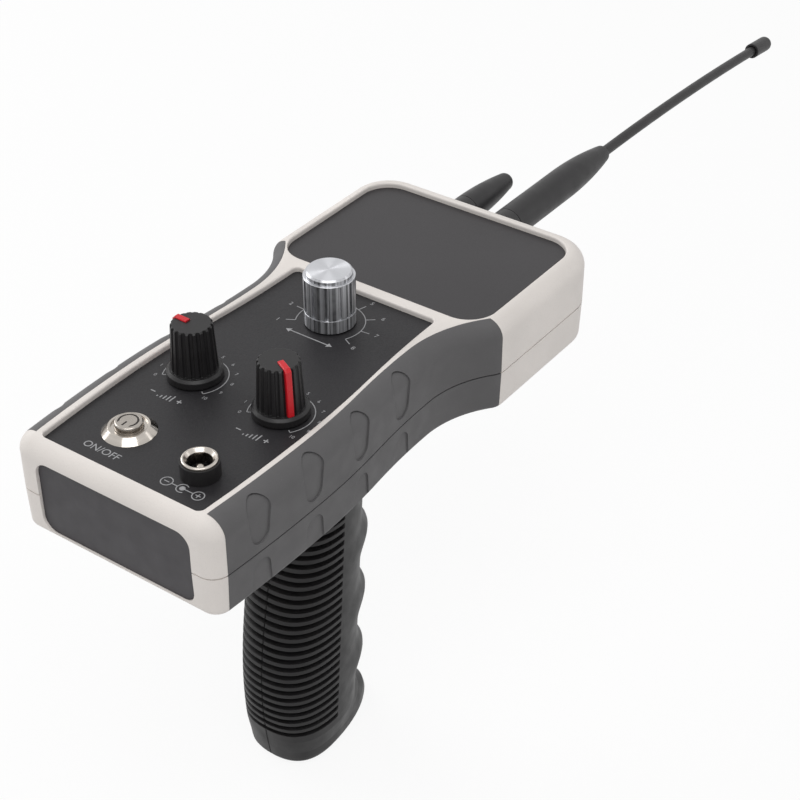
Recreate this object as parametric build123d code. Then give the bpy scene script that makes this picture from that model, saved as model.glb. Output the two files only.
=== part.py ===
from build123d import *
import math
import os

# A hand-held long range metal detector, in millimetres.
# It is drawn in the case's frame: X to the right, Y forward from the back end, Z up from the flat top.
# On export it moves to the part's frame, with its origin on the swivel axis, half way down the hand grip.

# Case
case_length = 167.0
case_thickness = 29.1
upper_depth = 16.9
tail_half_width = 33.0
bulge_half_width = 34.6
bulge_y = 40.0
waist_half_width = 31.7
head_length = 51.5
flare_length = 24.5
flare_share = 0.85
tail_corner_r = 5.0
head_corner_r = 13.0
top_edge_r = 5.4
bottom_edge_r = 1.8
bottom_draw_in = 0.4
parting_gap = 0.4
parting_depth = 0.5
shell_wall = 3.2
top_plate = 2.2
floor_thickness = 2.4
end_wall = 5.5

# Recesses of the top shell and the overlays that lie in them
panel_recess = 1.5
overlay_thickness = 0.5
overlay_gap = 0.1
recess_edge = 0.5
panel_tail_half_width = 26.2
panel_bulge_half_width = 27.5
panel_front_half_width = 24.4
panel_back_y = 3.9
panel_corner_r = 1.8
bar_width = 3.9
head_panel_length = 53.0
head_panel_inset = 5.0
head_rim = 5.6
head_panel_corner_r = 9.0

# Soft side grips
side_grip_thickness = 1.6
side_grip_back_y = 4.3
strip_width = 1.8
side_grip_waist_half_width = 26.7
side_grip_waist_lag = 2.5
side_grip_tip_inset = 4.5
side_grip_tip_lag = 1.5
finger_pad_depth = 0.45
finger_pad_wide_r = 4.1
finger_pad_narrow_r = 3.2
finger_pad_first_y = 16.2
finger_pad_pitch = 20.5
finger_pad_count = 4
upper_pad_top = 0.6
upper_pad_bottom = 14.2
lower_pad_top = 19.4

# End panels
end_lip = 1.0
end_panel_thickness = 2.0
end_panel_lap = 0.6
end_panel_gap = 0.1
end_opening_drop = 5.5
end_opening_rise = 1.4
end_opening_corner_r = 4.2
rear_opening_half_width = 25.5
front_opening_inset = 9.4

# Screws and fits
case_screw_r = 1.5
case_screw_head_r = 2.75
case_screw_head_height = 2.0
case_screw_sink = 0.2
case_boss_r = 3.2
case_boss_bite = 0.6
tail_screw_x = 25.0
head_screw_inset = 13.4
case_screw_tip_room = 2.0
screw_room = 0.2
thread_room = 0.03
head_room = 0.25
running_room = 0.05
fixed_room = 0.02

# Places of the controls on the panel
depth_x = -13.1
range_x = 15.7
pot_y = 47.5
selector_x = 0.0
selector_setback = 15.8
power_x = -10.7
power_y = 19.5
jack_x = 15.7
jack_y = 16.3

# Potentiometers and rotary switch
control_shaft_r = 3.0
bushing_r = 3.5
bushing_rise = 1.9
bushing_hole_room = 0.1
control_nut_flats = 10.0
control_nut_height = 1.6
can_wall = 1.2
pot_can_r = 8.4
pot_can_height = 8.5
switch_can_r = 10.5
switch_can_height = 13.0
rotor_thickness = 1.5
rotor_room = 0.1
lug_width = 1.5
lug_thickness = 0.6
lug_length = 4.5
lug_pitch = 5.0
lug_count = 3

# Fluted knobs
knob_height = 16.5
knob_lift = 0.5
knob_flange_r = 7.6
knob_flange_height = 2.5
knob_flange_chamfer = 0.7
knob_base_r = 6.3
knob_top_r = 5.6
knob_top_chamfer = 0.4
knob_wall = 1.1
knob_roof = 3.0
nut_cover_room = 0.3
flute_count = 18
flute_r = 0.6
pointer_width = 1.8
pointer_inner_r = 1.2
pointer_depth = 0.8
pointer_raise = 0.45
pointer_edge_r = 0.35
depth_pointer_angle = 178.0
range_pointer_angle = -27.0

# Selector knob
selector_knob_r = 7.2
selector_knob_height = 16.9
selector_top_r = 6.5
selector_top_chamfer = 0.5
selector_top_height = 1.55
selector_rim_height = 0.4
selector_rim_chamfer = 0.15
selector_groove_count = 12
selector_groove_width = 1.0
selector_groove_depth = 0.55
selector_band_height = 4.8
selector_band_line = 0.35
selector_core_r = 5.2

# Power button
bezel_r = 7.2
bezel_rim_r = 5.45
bezel_rim_inner_r = 4.8
bezel_ledge_drop = 0.5
bezel_height = 1.65
barrel_r = 5.9
barrel_bore_r = 4.3
barrel_depth = 14.5
button_r = 3.75
button_travel = 1.5
button_height = 4.1
button_edge_r = 0.5
button_stem_r = 2.0
button_collar_r = 2.8
button_collar_height = 0.8
button_symbol_depth = 0.3
button_symbol_r = 2.5
button_symbol_line = 0.55
button_symbol_gap = 3.6
button_symbol_bar = 1.9
web_drop = 6.5
web_thickness = 2.0
button_nut_flats = 14.0
button_nut_height = 2.0
spring_turns = 5
spring_wire_r = 0.25
spring_mean_r = 2.9

# Charge jack
jack_collar_r = 5.1
jack_collar_height = 4.5
jack_ring_r = 4.65
jack_ring_height = 1.5
jack_ring_stand = 0.7
jack_mouth_chamfer = 0.8
jack_lining_wall = 0.4
jack_lining_depth = 4.2
jack_bore_r = 3.2
jack_bore_depth = 9.7
jack_barrel_r = 3.9
jack_barrel_depth = 9.5
jack_pin_r = 1.05
jack_pin_recess = 2.5
jack_pin_root = 1.2
jack_pin_root_r = 0.8
jack_nut_flats = 11.0
jack_nut_height = 2.0

# Circuit board
board_width = 46.0
board_length = 42.5
board_thickness = 1.6
board_back_y = 13.5
board_lift = 2.6
board_hole_inset = 3.0
board_boss_r = 2.8
board_screw_r = 1.2
board_screw_head_r = 2.2
board_screw_head_height = 1.5
chip_sizes = [(10.0, 6.0, 1.6), (19.0, 6.4, 3.4), (6.0, 6.0, 4.0), (7.0, 4.0, 2.2)]
chip_places = [(-12.0, 16.0), (8.0, 13.0), (-15.0, 27.0), (2.0, 22.0)]
capacitor_places = [(-5.0, 34.0), (4.0, 34.0), (13.0, 31.0)]
capacitor_r = 3.15
capacitor_height = 5.5

# Battery
cell_r = 9.15
cell_length = 64.2
cell_nub_r = 2.8
cell_nub = 0.8
cell_pitch = 19.4
battery_front_room = 7.6
battery_side_room = 2.4
holder_base = 1.2
holder_wall = 1.8
holder_wall_height = 12.0
contact_thickness = 0.5
contact_size = 10.0

# Antennas
antenna_z = -13.4
whip_x = 0.0
stub_x = -15.9
socket_r = 3.2
socket_flange_r = 4.7
socket_flange_thickness = 1.5
socket_thread_length = 9.5
socket_tail = 4.0
socket_nut_flats = 8.0
socket_nut_height = 2.2
collar_lift = 0.5
collar_length = 12.0
collar_edge = 0.25
whip_base_r = 5.25
whip_base_straight = 31.2
whip_base_taper = 27.3
whip_neck_r = 2.74
whip_neck_edge_r = 0.9
whip_rod_r = 1.73
whip_rod_length = 119.5
whip_droop = 5.4
whip_tip_r = 2.75
whip_tip_length = 13.5
whip_tip_bore_r = 2.0
whip_tip_bore_depth = 7.0
stub_base_r = 4.75
stub_end_r = 3.0
stub_length = 25.0

# Swivel between case and hand grip
swivel_y = 75.0
shaft_r = 4.0
flange_r = 17.0
flange_thickness = 3.0
flange_screw_circle_r = 12.5
flange_screw_count = 4
flange_screw_length = 6.0
flange_screw_head_height = 1.8
swivel_pad_height = 4.6
washer_r = 9.0
washer_thickness = 0.8
swivel_room = 0.1
bush_r = 6.0
bush_flange_r = 8.5
bush_flange_thickness = 1.5
bush_length = 12.0
bush_span = 40.0
clip_r = 6.5
clip_thickness = 1.0
clip_groove_depth = 0.8
clip_gap_half_width = 1.8
shaft_end_length = 3.0

# Hand grip
grip_length = 108.5
grip_half_width = 14.6
rear_fullness = 0.68
fore_fullness = 0.552
seam_width = 0.25
seam_depth = 0.4
foot_taper = 1.2
grip_palm_y = 50.8
grip_web_y = 61.5
grip_palm_drop = 116.0
grip_web_drop = 38.0
grip_widest_y = 72.0
grip_widest_drop = 85.5
grip_widest_lean = 0.08
grip_front_y = 95.4
grip_front_drop = 71.8
grip_front_lean = 0.075
finger_pitch = 22.5
finger_count = 3
finger_wave = 2.2
finger_sharpness = 2.4
toe_flare = 3.9
toe_lag = 2.5
grip_step = 2.8
grip_foot_edge_r = 3.0
grip_foot_steps = 5
grip_wall = 3.2
rib_count = 26
rib_pitch = 2.96
rib_groove = 1.75
rib_slope = 0.3
rib_depth = 1.6
rib_low_drop = 128.3
grip_screw_r = 1.5
grip_screw_head_r = 2.75
grip_screw_head_height = 2.0
grip_screw_seat = 7.0
grip_screw_reach = 6.0
grip_screw_boss_r = 4.4
grip_screw_places = [(88.0, 51.0), (84.0, 92.0), (80.0, 127.0)]

# Places along the case worked out from the sizes above
shoulder_y = case_length - head_length
waist_y = shoulder_y - flare_length
head_panel_front_y = case_length - head_rim
head_panel_back_y = head_panel_front_y - head_panel_length
panel_front_y = head_panel_back_y - bar_width
selector_y = panel_front_y - selector_setback
side_grip_waist_y = waist_y - side_grip_waist_lag
side_grip_front_y = shoulder_y - side_grip_tip_lag
front_panel_y = case_length - end_lip
cell_row_y = case_length - end_wall - battery_front_room - cell_pitch

# Widths of the head worked out from the cells that lie across it
holder_inner_x = (cell_length + cell_nub) / 2 + contact_thickness
holder_outer_x = holder_inner_x + holder_wall
head_half_width = holder_outer_x + battery_side_room + shell_wall
head_panel_half_width = head_half_width - head_panel_inset
side_grip_tip_half_width = head_half_width - side_grip_tip_inset
front_opening_half_width = head_half_width - front_opening_inset
head_screw_x = head_half_width - head_screw_inset

# Levels worked out from the sizes above
face_z = -panel_recess
seat_z = face_z - overlay_thickness
plate_z = seat_z - top_plate
parting_z = -upper_depth
bottom_z = -case_thickness
floor_z = bottom_z + floor_thickness
board_z = floor_z + board_lift
board_top_z = board_z + board_thickness
flange_z = bottom_z - flange_thickness
washer_z = flange_z - washer_thickness
bush_top_z = washer_z - swivel_room
grip_top_z = bush_top_z - bush_flange_thickness
lower_bush_z = bush_top_z - bush_span
clip_z = lower_bush_z - swivel_room - clip_thickness
shaft_end_z = clip_z - shaft_end_length
grip_foot_z = grip_top_z - grip_length
grip_mid_z = (grip_top_z + grip_foot_z) / 2

LOW = (Align.CENTER, Align.CENTER, Align.MIN)
CORNER = (Align.MIN, Align.MIN, Align.MIN)
FAR = 120.0


# Shape helpers

def rod(radius, low, high, x=0.0, y=0.0):
    """Upright cylinder between two heights."""
    return Pos(x, y, low) * Cylinder(radius, high - low, align=LOW)


def block(x_span, y_span, z_span):
    """Box between two values on each axis."""
    size = [span[1] - span[0] for span in (x_span, y_span, z_span)]
    return Pos(x_span[0], y_span[0], z_span[0]) * Box(*size, align=CORNER)


def slab(face, low, high):
    """A flat outline made solid between two heights."""
    return extrude(Pos(0, 0, low) * face, high - low, dir=(0, 0, 1))


def hex_nut(flats, bore_r, low, high):
    """Hexagon nut with its bore, upright."""
    outline = RegularPolygon(flats / 2, 6, major_radius=False)
    return slab(outline, low, high) - rod(bore_r, low, high)


def turned(points):
    """Solid of revolution about Z from radius and height pairs."""
    return revolve(Plane.XZ * make_face(Polyline(*points, close=True)), Axis.Z)


def forward(x, y, z):
    """Place for a piece drawn upright that points forward along Y."""
    return Pos(x, y, z) * Rot(X=-90)


def screw(shank_r, length, head_r, head_height):
    """Pan head screw, its head seated on z = 0 from above and its shank pointing down."""
    return rod(shank_r, -length, 0) + rod(head_r, 0, head_height)


def mirrored(shape):
    """The same shape on the other side of the case."""
    return mirror(shape, Plane.YZ)


def corners_at(face, y):
    """The two corners of an outline that lie at one y."""
    return [corner for corner in face.vertices() if abs(corner.Y - y) < 0.01]


# Outlines seen from above

def s_curve(start, end, share):
    """Two arcs that leave start and reach end along Y and meet at a share of the way."""
    middle = start + (end - start) * share
    first = TangentArc(start, middle, tangent=(0, 1))
    second = TangentArc(middle, end, tangent=first % 1)
    return [first, second]


def closed_outline(right_side, back_half_width, back_y, front_half_width, front_y):
    """Face between a right side, its mirror image and two straight ends."""
    back = Line((-back_half_width, back_y), (back_half_width, back_y))
    front = Line((-front_half_width, front_y), (front_half_width, front_y))
    left_side = [mirror(edge, Plane.YZ) for edge in right_side]
    return make_face([back, front] + right_side + left_side)


def case_outline():
    """Waisted outline of the case."""
    tail = Vector(tail_half_width, 0)
    bulge = Vector(bulge_half_width, bulge_y)
    waist = Vector(waist_half_width, waist_y)
    shoulder = Vector(head_half_width, shoulder_y)
    nose = Vector(head_half_width, case_length)
    right = [TangentArc(bulge, tail, tangent=(0, -1))]
    right += s_curve(bulge, waist, 0.5)
    right += s_curve(waist, shoulder, flare_share)
    right += [Line(shoulder, nose)]
    face = closed_outline(right, tail_half_width, 0, head_half_width, case_length)
    face = fillet(corners_at(face, 0), tail_corner_r)
    return fillet(corners_at(face, case_length), head_corner_r)


def panel_outline():
    """Outline of the control panel recess."""
    tail = Vector(panel_tail_half_width, panel_back_y)
    bulge = Vector(panel_bulge_half_width, bulge_y)
    front = Vector(panel_front_half_width, panel_front_y)
    right = [TangentArc(bulge, tail, tangent=(0, -1))] + s_curve(bulge, front, 0.5)
    face = closed_outline(right, panel_tail_half_width, panel_back_y, panel_front_half_width, panel_front_y)
    return fillet(face.vertices().sort_by(Axis.Y)[:2] + face.vertices().sort_by(Axis.Y)[-2:], panel_corner_r)


def head_panel_outline():
    """Outline of the head recess."""
    length = head_panel_front_y - head_panel_back_y
    middle = (head_panel_front_y + head_panel_back_y) / 2
    return Pos(0, middle) * RectangleRounded(2 * head_panel_half_width, length, head_panel_corner_r)


def side_grip_zone():
    """Region of the right side grip seen from above, open past the case's flank."""
    tail = Vector(panel_tail_half_width + strip_width, side_grip_back_y)
    bulge = Vector(panel_bulge_half_width + strip_width, bulge_y)
    waist = Vector(side_grip_waist_half_width, side_grip_waist_y)
    tip = Vector(side_grip_tip_half_width, side_grip_front_y)
    edges = [TangentArc(bulge, tail, tangent=(0, -1))]
    edges += s_curve(bulge, waist, 0.5)
    edges += [TangentArc(waist, tip, tangent=(0, 1))]
    edges += [Polyline(tip, (FAR, side_grip_front_y), (FAR, side_grip_back_y), tail)]
    return slab(make_face(edges), -FAR, FAR)


CASE = case_outline()
PANEL = panel_outline()
HEAD_PANEL = head_panel_outline()
GRIP_ZONE = side_grip_zone()
CONTROL_PLACES = [(depth_x, pot_y), (range_x, pot_y), (selector_x, selector_y)]
BOSS_REACH = end_wall + case_boss_r - case_boss_bite
SCREW_PLACES = [(side * tail_screw_x, BOSS_REACH) for side in (-1, 1)]
SCREW_PLACES += [(side * head_screw_x, case_length - BOSS_REACH) for side in (-1, 1)]


# Blocks that the shells and side grips are cut from

def grown(amount):
    """The case outline moved out by an amount, or in where it is negative."""
    if amount == 0:
        return CASE
    return offset(CASE, amount)


def upper_block(growth):
    """Upper half of the case as a full block with its top edge rounded."""
    body = slab(grown(growth), parting_z, growth)
    return fillet(body.faces().sort_by(Axis.Z)[-1].edges(), top_edge_r + growth)


def lower_block(growth):
    """Lower half of the case as a full block, drawn in towards the bottom."""
    top = Pos(0, 0, parting_z) * grown(growth)
    bottom = Pos(0, 0, bottom_z) * grown(growth - bottom_draw_in)
    return loft([bottom, top], ruled=True)


def parting_groove():
    """Thin line round the case, just above the parting plane."""
    top = parting_z + parting_gap
    return slab(grown(parting_gap), parting_z, top) - slab(grown(-parting_depth), parting_z, top)


def finger_pads(high_r, high_z, low_r, low_z):
    """Upright bars through the right flank, each outlined by the hull of a high and a low circle."""
    high = Pos(0, high_z) * Circle(high_r)
    low = Pos(0, low_z) * Circle(low_r)
    outline = make_hull(high.edges() + low.edges())
    pads = []
    for index in range(finger_pad_count):
        y = finger_pad_first_y + index * finger_pad_pitch
        flank = Plane((0, y, 0), x_dir=(0, 1, 0), z_dir=(1, 0, 0))
        pads.append(extrude(flank * outline, FAR, dir=(1, 0, 0)))
    return Part() + pads


UPPER = upper_block(0) - parting_groove()
LOWER = lower_block(0)
LOWER_CASE = fillet(LOWER.faces().sort_by(Axis.Z)[0].edges(), bottom_edge_r)
UPPER_SKIN = (UPPER - upper_block(-side_grip_thickness)) & GRIP_ZONE
LOWER_SKIN = (LOWER_CASE - lower_block(-side_grip_thickness)) & GRIP_ZONE


# End openings and the panels in them

def end_outline(half_width, lap):
    """Upright rounded rectangle of an end opening, larger by a lap all round."""
    top = -end_opening_drop + lap
    bottom = bottom_z + end_opening_rise - lap
    rectangle = RectangleRounded(2 * (half_width + lap), top - bottom, end_opening_corner_r)
    return Plane((0, 0, (top + bottom) / 2), x_dir=(1, 0, 0), z_dir=(0, 1, 0)) * rectangle


def end_slab(half_width, lap, y_span):
    """The end outline made solid between two values of y."""
    return extrude(Pos(0, y_span[0], 0) * end_outline(half_width, lap), y_span[1] - y_span[0], dir=(0, 1, 0))


def end_cuts():
    """Openings and slots of both ends of the case."""
    slot = end_panel_thickness + end_panel_gap
    rear = end_slab(rear_opening_half_width, 0, (-FAR, end_wall))
    rear_slot = end_slab(rear_opening_half_width, end_panel_lap, (end_lip, end_lip + slot))
    front = end_slab(front_opening_half_width, 0, (case_length - end_wall, case_length + FAR))
    front_slot = end_slab(front_opening_half_width, end_panel_lap, (front_panel_y - slot, front_panel_y))
    return [rear, rear_slot, front, front_slot]


def rear_end_panel():
    """Blank panel in the slot of the back end."""
    return end_slab(rear_opening_half_width, end_panel_lap, (end_lip, end_lip + end_panel_thickness))


def front_end_panel():
    """Panel in the slot of the front end, with the holes of the antenna sockets."""
    span = (front_panel_y - end_panel_thickness, front_panel_y)
    panel = end_slab(front_opening_half_width, end_panel_lap, span)
    hole_r = socket_r + thread_room
    holes = [forward(x, 0, antenna_z) * rod(hole_r, 0, case_length) for x in (whip_x, stub_x)]
    return panel - holes


# Shells, overlays and side grips

def cavity():
    """Room inside the case."""
    inside = slab(grown(-shell_wall), floor_z, plate_z)
    return inside & block((-FAR, FAR), (end_wall, case_length - end_wall), (-FAR, FAR))


def control_holes(low, high):
    """Holes for the five controls through the panel."""
    holes = [rod(bushing_r + bushing_hole_room, low, high, x, y) for x, y in CONTROL_PLACES]
    holes.append(rod(barrel_r + bushing_hole_room, low, high, power_x, power_y))
    holes.append(rod(jack_barrel_r + bushing_hole_room, low, high, jack_x, jack_y))
    return holes


def recess(outline):
    """Room of a recess in the top, its rim eased in two bevels."""
    bevel = recess_edge * (1 - math.sqrt(0.5))
    low = Pos(0, 0, -recess_edge) * outline
    middle = Pos(0, 0, -bevel) * offset(outline, bevel)
    high = offset(outline, recess_edge)
    return slab(outline, seat_z, FAR) + loft([low, middle, high], ruled=True)


def top_shell():
    """Upper shell with its two recesses, screw bosses and end slots."""
    shell = UPPER - cavity() - [recess(PANEL), recess(HEAD_PANEL)]
    pilot_end = plate_z - case_screw_tip_room
    bosses = [rod(case_boss_r, parting_z, plate_z, x, y) for x, y in SCREW_PLACES]
    pilots = [rod(case_screw_r + thread_room, parting_z, pilot_end, x, y) for x, y in SCREW_PLACES]
    shell = shell + bosses - pilots
    shell -= control_holes(plate_z, seat_z)
    return shell - end_cuts() - UPPER_SKIN - mirrored(UPPER_SKIN)


def bottom_shell():
    """Lower shell with its screw bosses, board bosses and the pad behind the swivel flange."""
    shell = LOWER_CASE - cavity()
    head_seat_z = bottom_z + case_screw_sink + case_screw_head_height
    shell += [rod(case_boss_r, floor_z, parting_z, x, y) for x, y in SCREW_PLACES]
    shell += [rod(board_boss_r, floor_z, board_z, x, y) for x, y in board_places()]
    shell += rod(flange_r, floor_z, floor_z + swivel_pad_height, 0, swivel_y)
    shell -= [rod(case_screw_r + screw_room, head_seat_z, parting_z, x, y) for x, y in SCREW_PLACES]
    shell -= [rod(case_screw_head_r + head_room, bottom_z, head_seat_z, x, y) for x, y in SCREW_PLACES]
    shell -= [rod(board_screw_r + thread_room, floor_z, board_z, x, y) for x, y in board_places()]
    pilot_top = bottom_z + flange_screw_length
    shell -= [rod(case_screw_r + thread_room, bottom_z, pilot_top, x, y) for x, y in flange_screw_places()]
    return shell - end_cuts() - LOWER_SKIN - mirrored(LOWER_SKIN)


def control_overlay():
    """Thin black panel sheet with holes for the controls."""
    return slab(offset(PANEL, -overlay_gap), seat_z, face_z) - control_holes(seat_z, face_z)


def head_overlay():
    """Thin blank sheet of the head."""
    return slab(offset(HEAD_PANEL, -overlay_gap), seat_z, face_z)


def upper_side_grip():
    """Soft right grip of the upper shell with its sunk finger pads."""
    high_z = -upper_pad_top - finger_pad_wide_r
    low_z = -upper_pad_bottom + finger_pad_narrow_r
    pads = finger_pads(finger_pad_wide_r, high_z, finger_pad_narrow_r, low_z)
    return UPPER_SKIN - (pads - upper_block(-finger_pad_depth))


def lower_side_grip():
    """Soft right grip of the lower shell, its sunk finger pads open at the bottom edge."""
    high_z = -lower_pad_top - finger_pad_narrow_r
    low_z = bottom_z - finger_pad_wide_r
    pads = finger_pads(finger_pad_narrow_r, high_z, finger_pad_wide_r, low_z)
    return LOWER_SKIN - (pads - lower_block(-finger_pad_depth))


def case_screws():
    """Four screws that close the case from below."""
    seat = bottom_z + case_screw_sink + case_screw_head_height
    length = plate_z - case_screw_tip_room - seat
    one = screw(case_screw_r, length, case_screw_head_r, case_screw_head_height)
    return [Pos(x, y, seat) * Rot(X=180) * one for x, y in SCREW_PLACES]


# Circuit board and battery

def board_places():
    """Centres of the four board screws."""
    x = board_width / 2 - board_hole_inset
    near = board_back_y + board_hole_inset
    far = board_back_y + board_length - board_hole_inset
    return [(-x, near), (x, near), (-x, far), (x, far)]


def main_board():
    """Bare circuit board with its screw holes."""
    half = board_width / 2
    board = block((-half, half), (board_back_y, board_back_y + board_length), (board_z, board_top_z))
    return board - [rod(board_screw_r + screw_room, board_z, board_top_z, x, y) for x, y in board_places()]


def board_components():
    """Chips and capacitors on the board, their places counted from the board's back edge."""
    pieces = []
    for (x, y), size in zip(chip_places, chip_sizes):
        pieces.append(Pos(x, board_back_y + y, board_top_z) * Box(*size, align=LOW))
    for x, y in capacitor_places:
        pieces.append(rod(capacitor_r, board_top_z, board_top_z + capacitor_height, x, board_back_y + y))
    return pieces


def board_screws():
    """Four screws that hold the board on its bosses."""
    one = screw(board_screw_r, board_thickness + board_lift, board_screw_head_r, board_screw_head_height)
    return [Pos(x, y, board_top_z) * one for x, y in board_places()]


def cell_rows():
    """The y of each battery cell."""
    return [cell_row_y - cell_pitch / 2, cell_row_y + cell_pitch / 2]


def battery_cells():
    """Two round cells that lie across the head."""
    axis_z = floor_z + holder_base + cell_r
    overall = cell_length + cell_nub
    cell = rod(cell_r, 0, cell_length) + rod(cell_nub_r, cell_length, overall)
    first = Pos(-overall / 2, cell_rows()[0], axis_z) * Rot(Y=90) * cell
    second = Pos(overall / 2, cell_rows()[1], axis_z) * Rot(Y=-90) * cell
    return [first, second]


def battery_holder():
    """Open tray with two end walls."""
    y_span = (cell_row_y - cell_pitch, cell_row_y + cell_pitch)
    base_top = floor_z + holder_base
    wall_span = (base_top, base_top + holder_wall_height)
    tray = block((-holder_outer_x, holder_outer_x), y_span, (floor_z, base_top))
    tray += block((-holder_outer_x, -holder_inner_x), y_span, wall_span)
    return tray + block((holder_inner_x, holder_outer_x), y_span, wall_span)


def battery_contacts():
    """Four contact plates between the cells and the holder's end walls."""
    axis_z = floor_z + holder_base + cell_r
    half = contact_size / 2
    contacts = []
    for y in cell_rows():
        for low in (-holder_inner_x, holder_inner_x - contact_thickness):
            spans = (low, low + contact_thickness), (y - half, y + half), (axis_z - half, axis_z + half)
            contacts.append(block(*spans))
    return contacts


# Potentiometers, rotary switch and their knobs

def control_can(can_r, can_height):
    """Hollow can with its threaded bushing and solder lugs, panel face at z = 0."""
    under = plate_z - face_z
    low = under - can_height
    can = rod(can_r, low, under) + rod(bushing_r, under, bushing_rise)
    can -= rod(can_r - can_wall, low + can_wall, under - can_wall)
    can -= rod(control_shaft_r + running_room, under - can_wall, bushing_rise)
    first = -(lug_count - 1) / 2 * lug_pitch
    for index in range(lug_count):
        x = first + index * lug_pitch
        x_span = (x - lug_width / 2, x + lug_width / 2)
        y_span = (-can_r - lug_length, -math.sqrt((can_r - can_wall / 2) ** 2 - x ** 2))
        can += block(x_span, y_span, (low, low + lug_thickness))
    return can


def control_shaft(can_r, top):
    """Shaft with the rotor that turns inside its can, panel face at z = 0."""
    rotor_top = plate_z - face_z - can_wall - rotor_room
    rotor_r = can_r - can_wall - rotor_room
    return rod(control_shaft_r, rotor_top, top) + rod(rotor_r, rotor_top - rotor_thickness, rotor_top)


def control_nut():
    """Nut that holds a control on the panel, panel face at z = 0."""
    return hex_nut(control_nut_flats, bushing_r + thread_room, 0, control_nut_height)


def knob_pocket(outer_r):
    """Room under a knob for the nut and the bushing."""
    return rod(outer_r - knob_wall, 0, bushing_rise + nut_cover_room)


def clear_of_knob(edge):
    """Whether an edge lies outside a fluted knob's top and side."""
    middle = edge.center()
    share = (knob_height - middle.Z) / (knob_height - knob_lift - knob_flange_height)
    return share < 0 or middle.X > knob_top_r + (knob_base_r - knob_top_r) * share


def pointer():
    """Red pointer bar over the knob's top and down its side, towards +X."""
    flange_top = knob_lift + knob_flange_height
    top = knob_height + pointer_raise
    profile = [
        (pointer_inner_r, top),
        (knob_top_r - knob_top_chamfer, top),
        (knob_top_r + pointer_raise, knob_height - knob_top_chamfer),
        (knob_base_r + pointer_raise, flange_top),
        (knob_base_r - pointer_depth, flange_top),
        (knob_top_r - pointer_depth, knob_height - pointer_depth),
        (pointer_inner_r, knob_height - pointer_depth),
    ]
    face = Plane.XZ * make_face(Polyline(*profile, close=True))
    bar = extrude(face, pointer_width / 2, both=True)
    return fillet(bar.edges().filter_by(Plane.XZ).filter_by(clear_of_knob), pointer_edge_r)


def fluted_knob():
    """Black knob with a flange and flutes, panel face at z = 0."""
    flange_top = knob_lift + knob_flange_height
    knob = turned([
        (0, knob_lift),
        (knob_flange_r, knob_lift),
        (knob_flange_r, flange_top - knob_flange_chamfer),
        (knob_flange_r - knob_flange_chamfer, flange_top),
        (knob_base_r, flange_top),
        (knob_top_r, knob_height - knob_top_chamfer),
        (knob_top_r - knob_top_chamfer, knob_height),
        (0, knob_height),
    ])
    rise = knob_height - flange_top
    lean = math.degrees(math.atan((knob_base_r - knob_top_r) / rise))
    flute = Pos(knob_base_r, 0, flange_top) * Rot(Y=-lean) * rod(flute_r, 0, 2 * rise)
    knob -= [Rot(Z=360 * (index + 0.5) / flute_count) * flute for index in range(flute_count)]
    knob -= knob_pocket(knob_flange_r)
    knob -= rod(control_shaft_r + fixed_room, 0, knob_height - knob_roof)
    return knob - pointer()


def selector_knob():
    """Turned aluminium cap of the selector with grooves round its side, panel face at z = 0."""
    top = selector_knob_height
    ledge = top - selector_top_height
    line_low = selector_band_height - selector_band_line
    line_r = selector_knob_r - selector_band_line
    knob = turned([
        (0, knob_lift),
        (selector_knob_r, knob_lift),
        (selector_knob_r, line_low),
        (line_r, line_low),
        (line_r, selector_band_height),
        (selector_knob_r, selector_band_height),
        (selector_knob_r, ledge - selector_rim_chamfer),
        (selector_knob_r - selector_rim_chamfer, ledge),
        (selector_top_r, ledge),
        (selector_top_r, top - selector_top_chamfer),
        (selector_top_r - selector_top_chamfer, top),
        (0, top),
    ])
    half = selector_groove_width / 2
    x_span = (selector_knob_r - selector_groove_depth, FAR)
    groove = block(x_span, (-half, half), (line_low, ledge - selector_rim_height))
    count = selector_groove_count
    knob -= [Rot(Z=360 * index / count) * groove for index in range(count)]
    knob -= knob_pocket(selector_knob_r)
    return knob - rod(selector_core_r, 0, top - knob_roof)


def selector_knob_core():
    """Plastic core that joins the selector's cap to its shaft, panel face at z = 0."""
    low = bushing_rise + nut_cover_room
    top = selector_knob_height - knob_roof
    return rod(selector_core_r - fixed_room, low, top) - rod(control_shaft_r + fixed_room, 0, top - knob_roof)


# Power button, panel face at z = 0

def power_bezel():
    """Bevelled bezel, threaded barrel and the web that guides the button's stem."""
    under = -barrel_depth
    bezel = turned([
        (0, under),
        (barrel_r, under),
        (barrel_r, 0),
        (bezel_r, 0),
        (bezel_rim_r, bezel_height),
        (0, bezel_height),
    ])
    bezel -= rod(bezel_rim_inner_r, bezel_height - bezel_ledge_drop, bezel_height)
    bezel -= rod(button_r + running_room, -web_drop, bezel_height)
    bezel -= rod(button_stem_r + running_room, -web_drop - web_thickness, -web_drop)
    return bezel - rod(barrel_bore_r, under, -web_drop - web_thickness)


def power_base():
    """Plug that closes the barrel and carries the terminals."""
    return rod(barrel_bore_r - fixed_room, -barrel_depth, -barrel_depth + web_thickness)


def power_terminals():
    """Two solder tags under the button's base."""
    half = lug_width / 2
    span = (-barrel_depth - lug_length, -barrel_depth)
    tags = []
    for x in (-lug_pitch / 2, lug_pitch / 2):
        tags.append(block((x - lug_thickness / 2, x + lug_thickness / 2), (-half, half), span))
    return tags


def power_symbol():
    """Broken ring and bar engraved in the button's top, the bar towards the back."""
    outer_r = button_symbol_r + button_symbol_line / 2
    inner_r = button_symbol_r - button_symbol_line / 2
    gap = Pos(0, -button_symbol_r) * Rectangle(button_symbol_gap, 2 * button_symbol_r)
    bar = Pos(0, button_symbol_bar / 2 - button_symbol_r) * Rectangle(button_symbol_line, button_symbol_bar)
    return Circle(outer_r) - Circle(inner_r) - gap + bar


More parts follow.
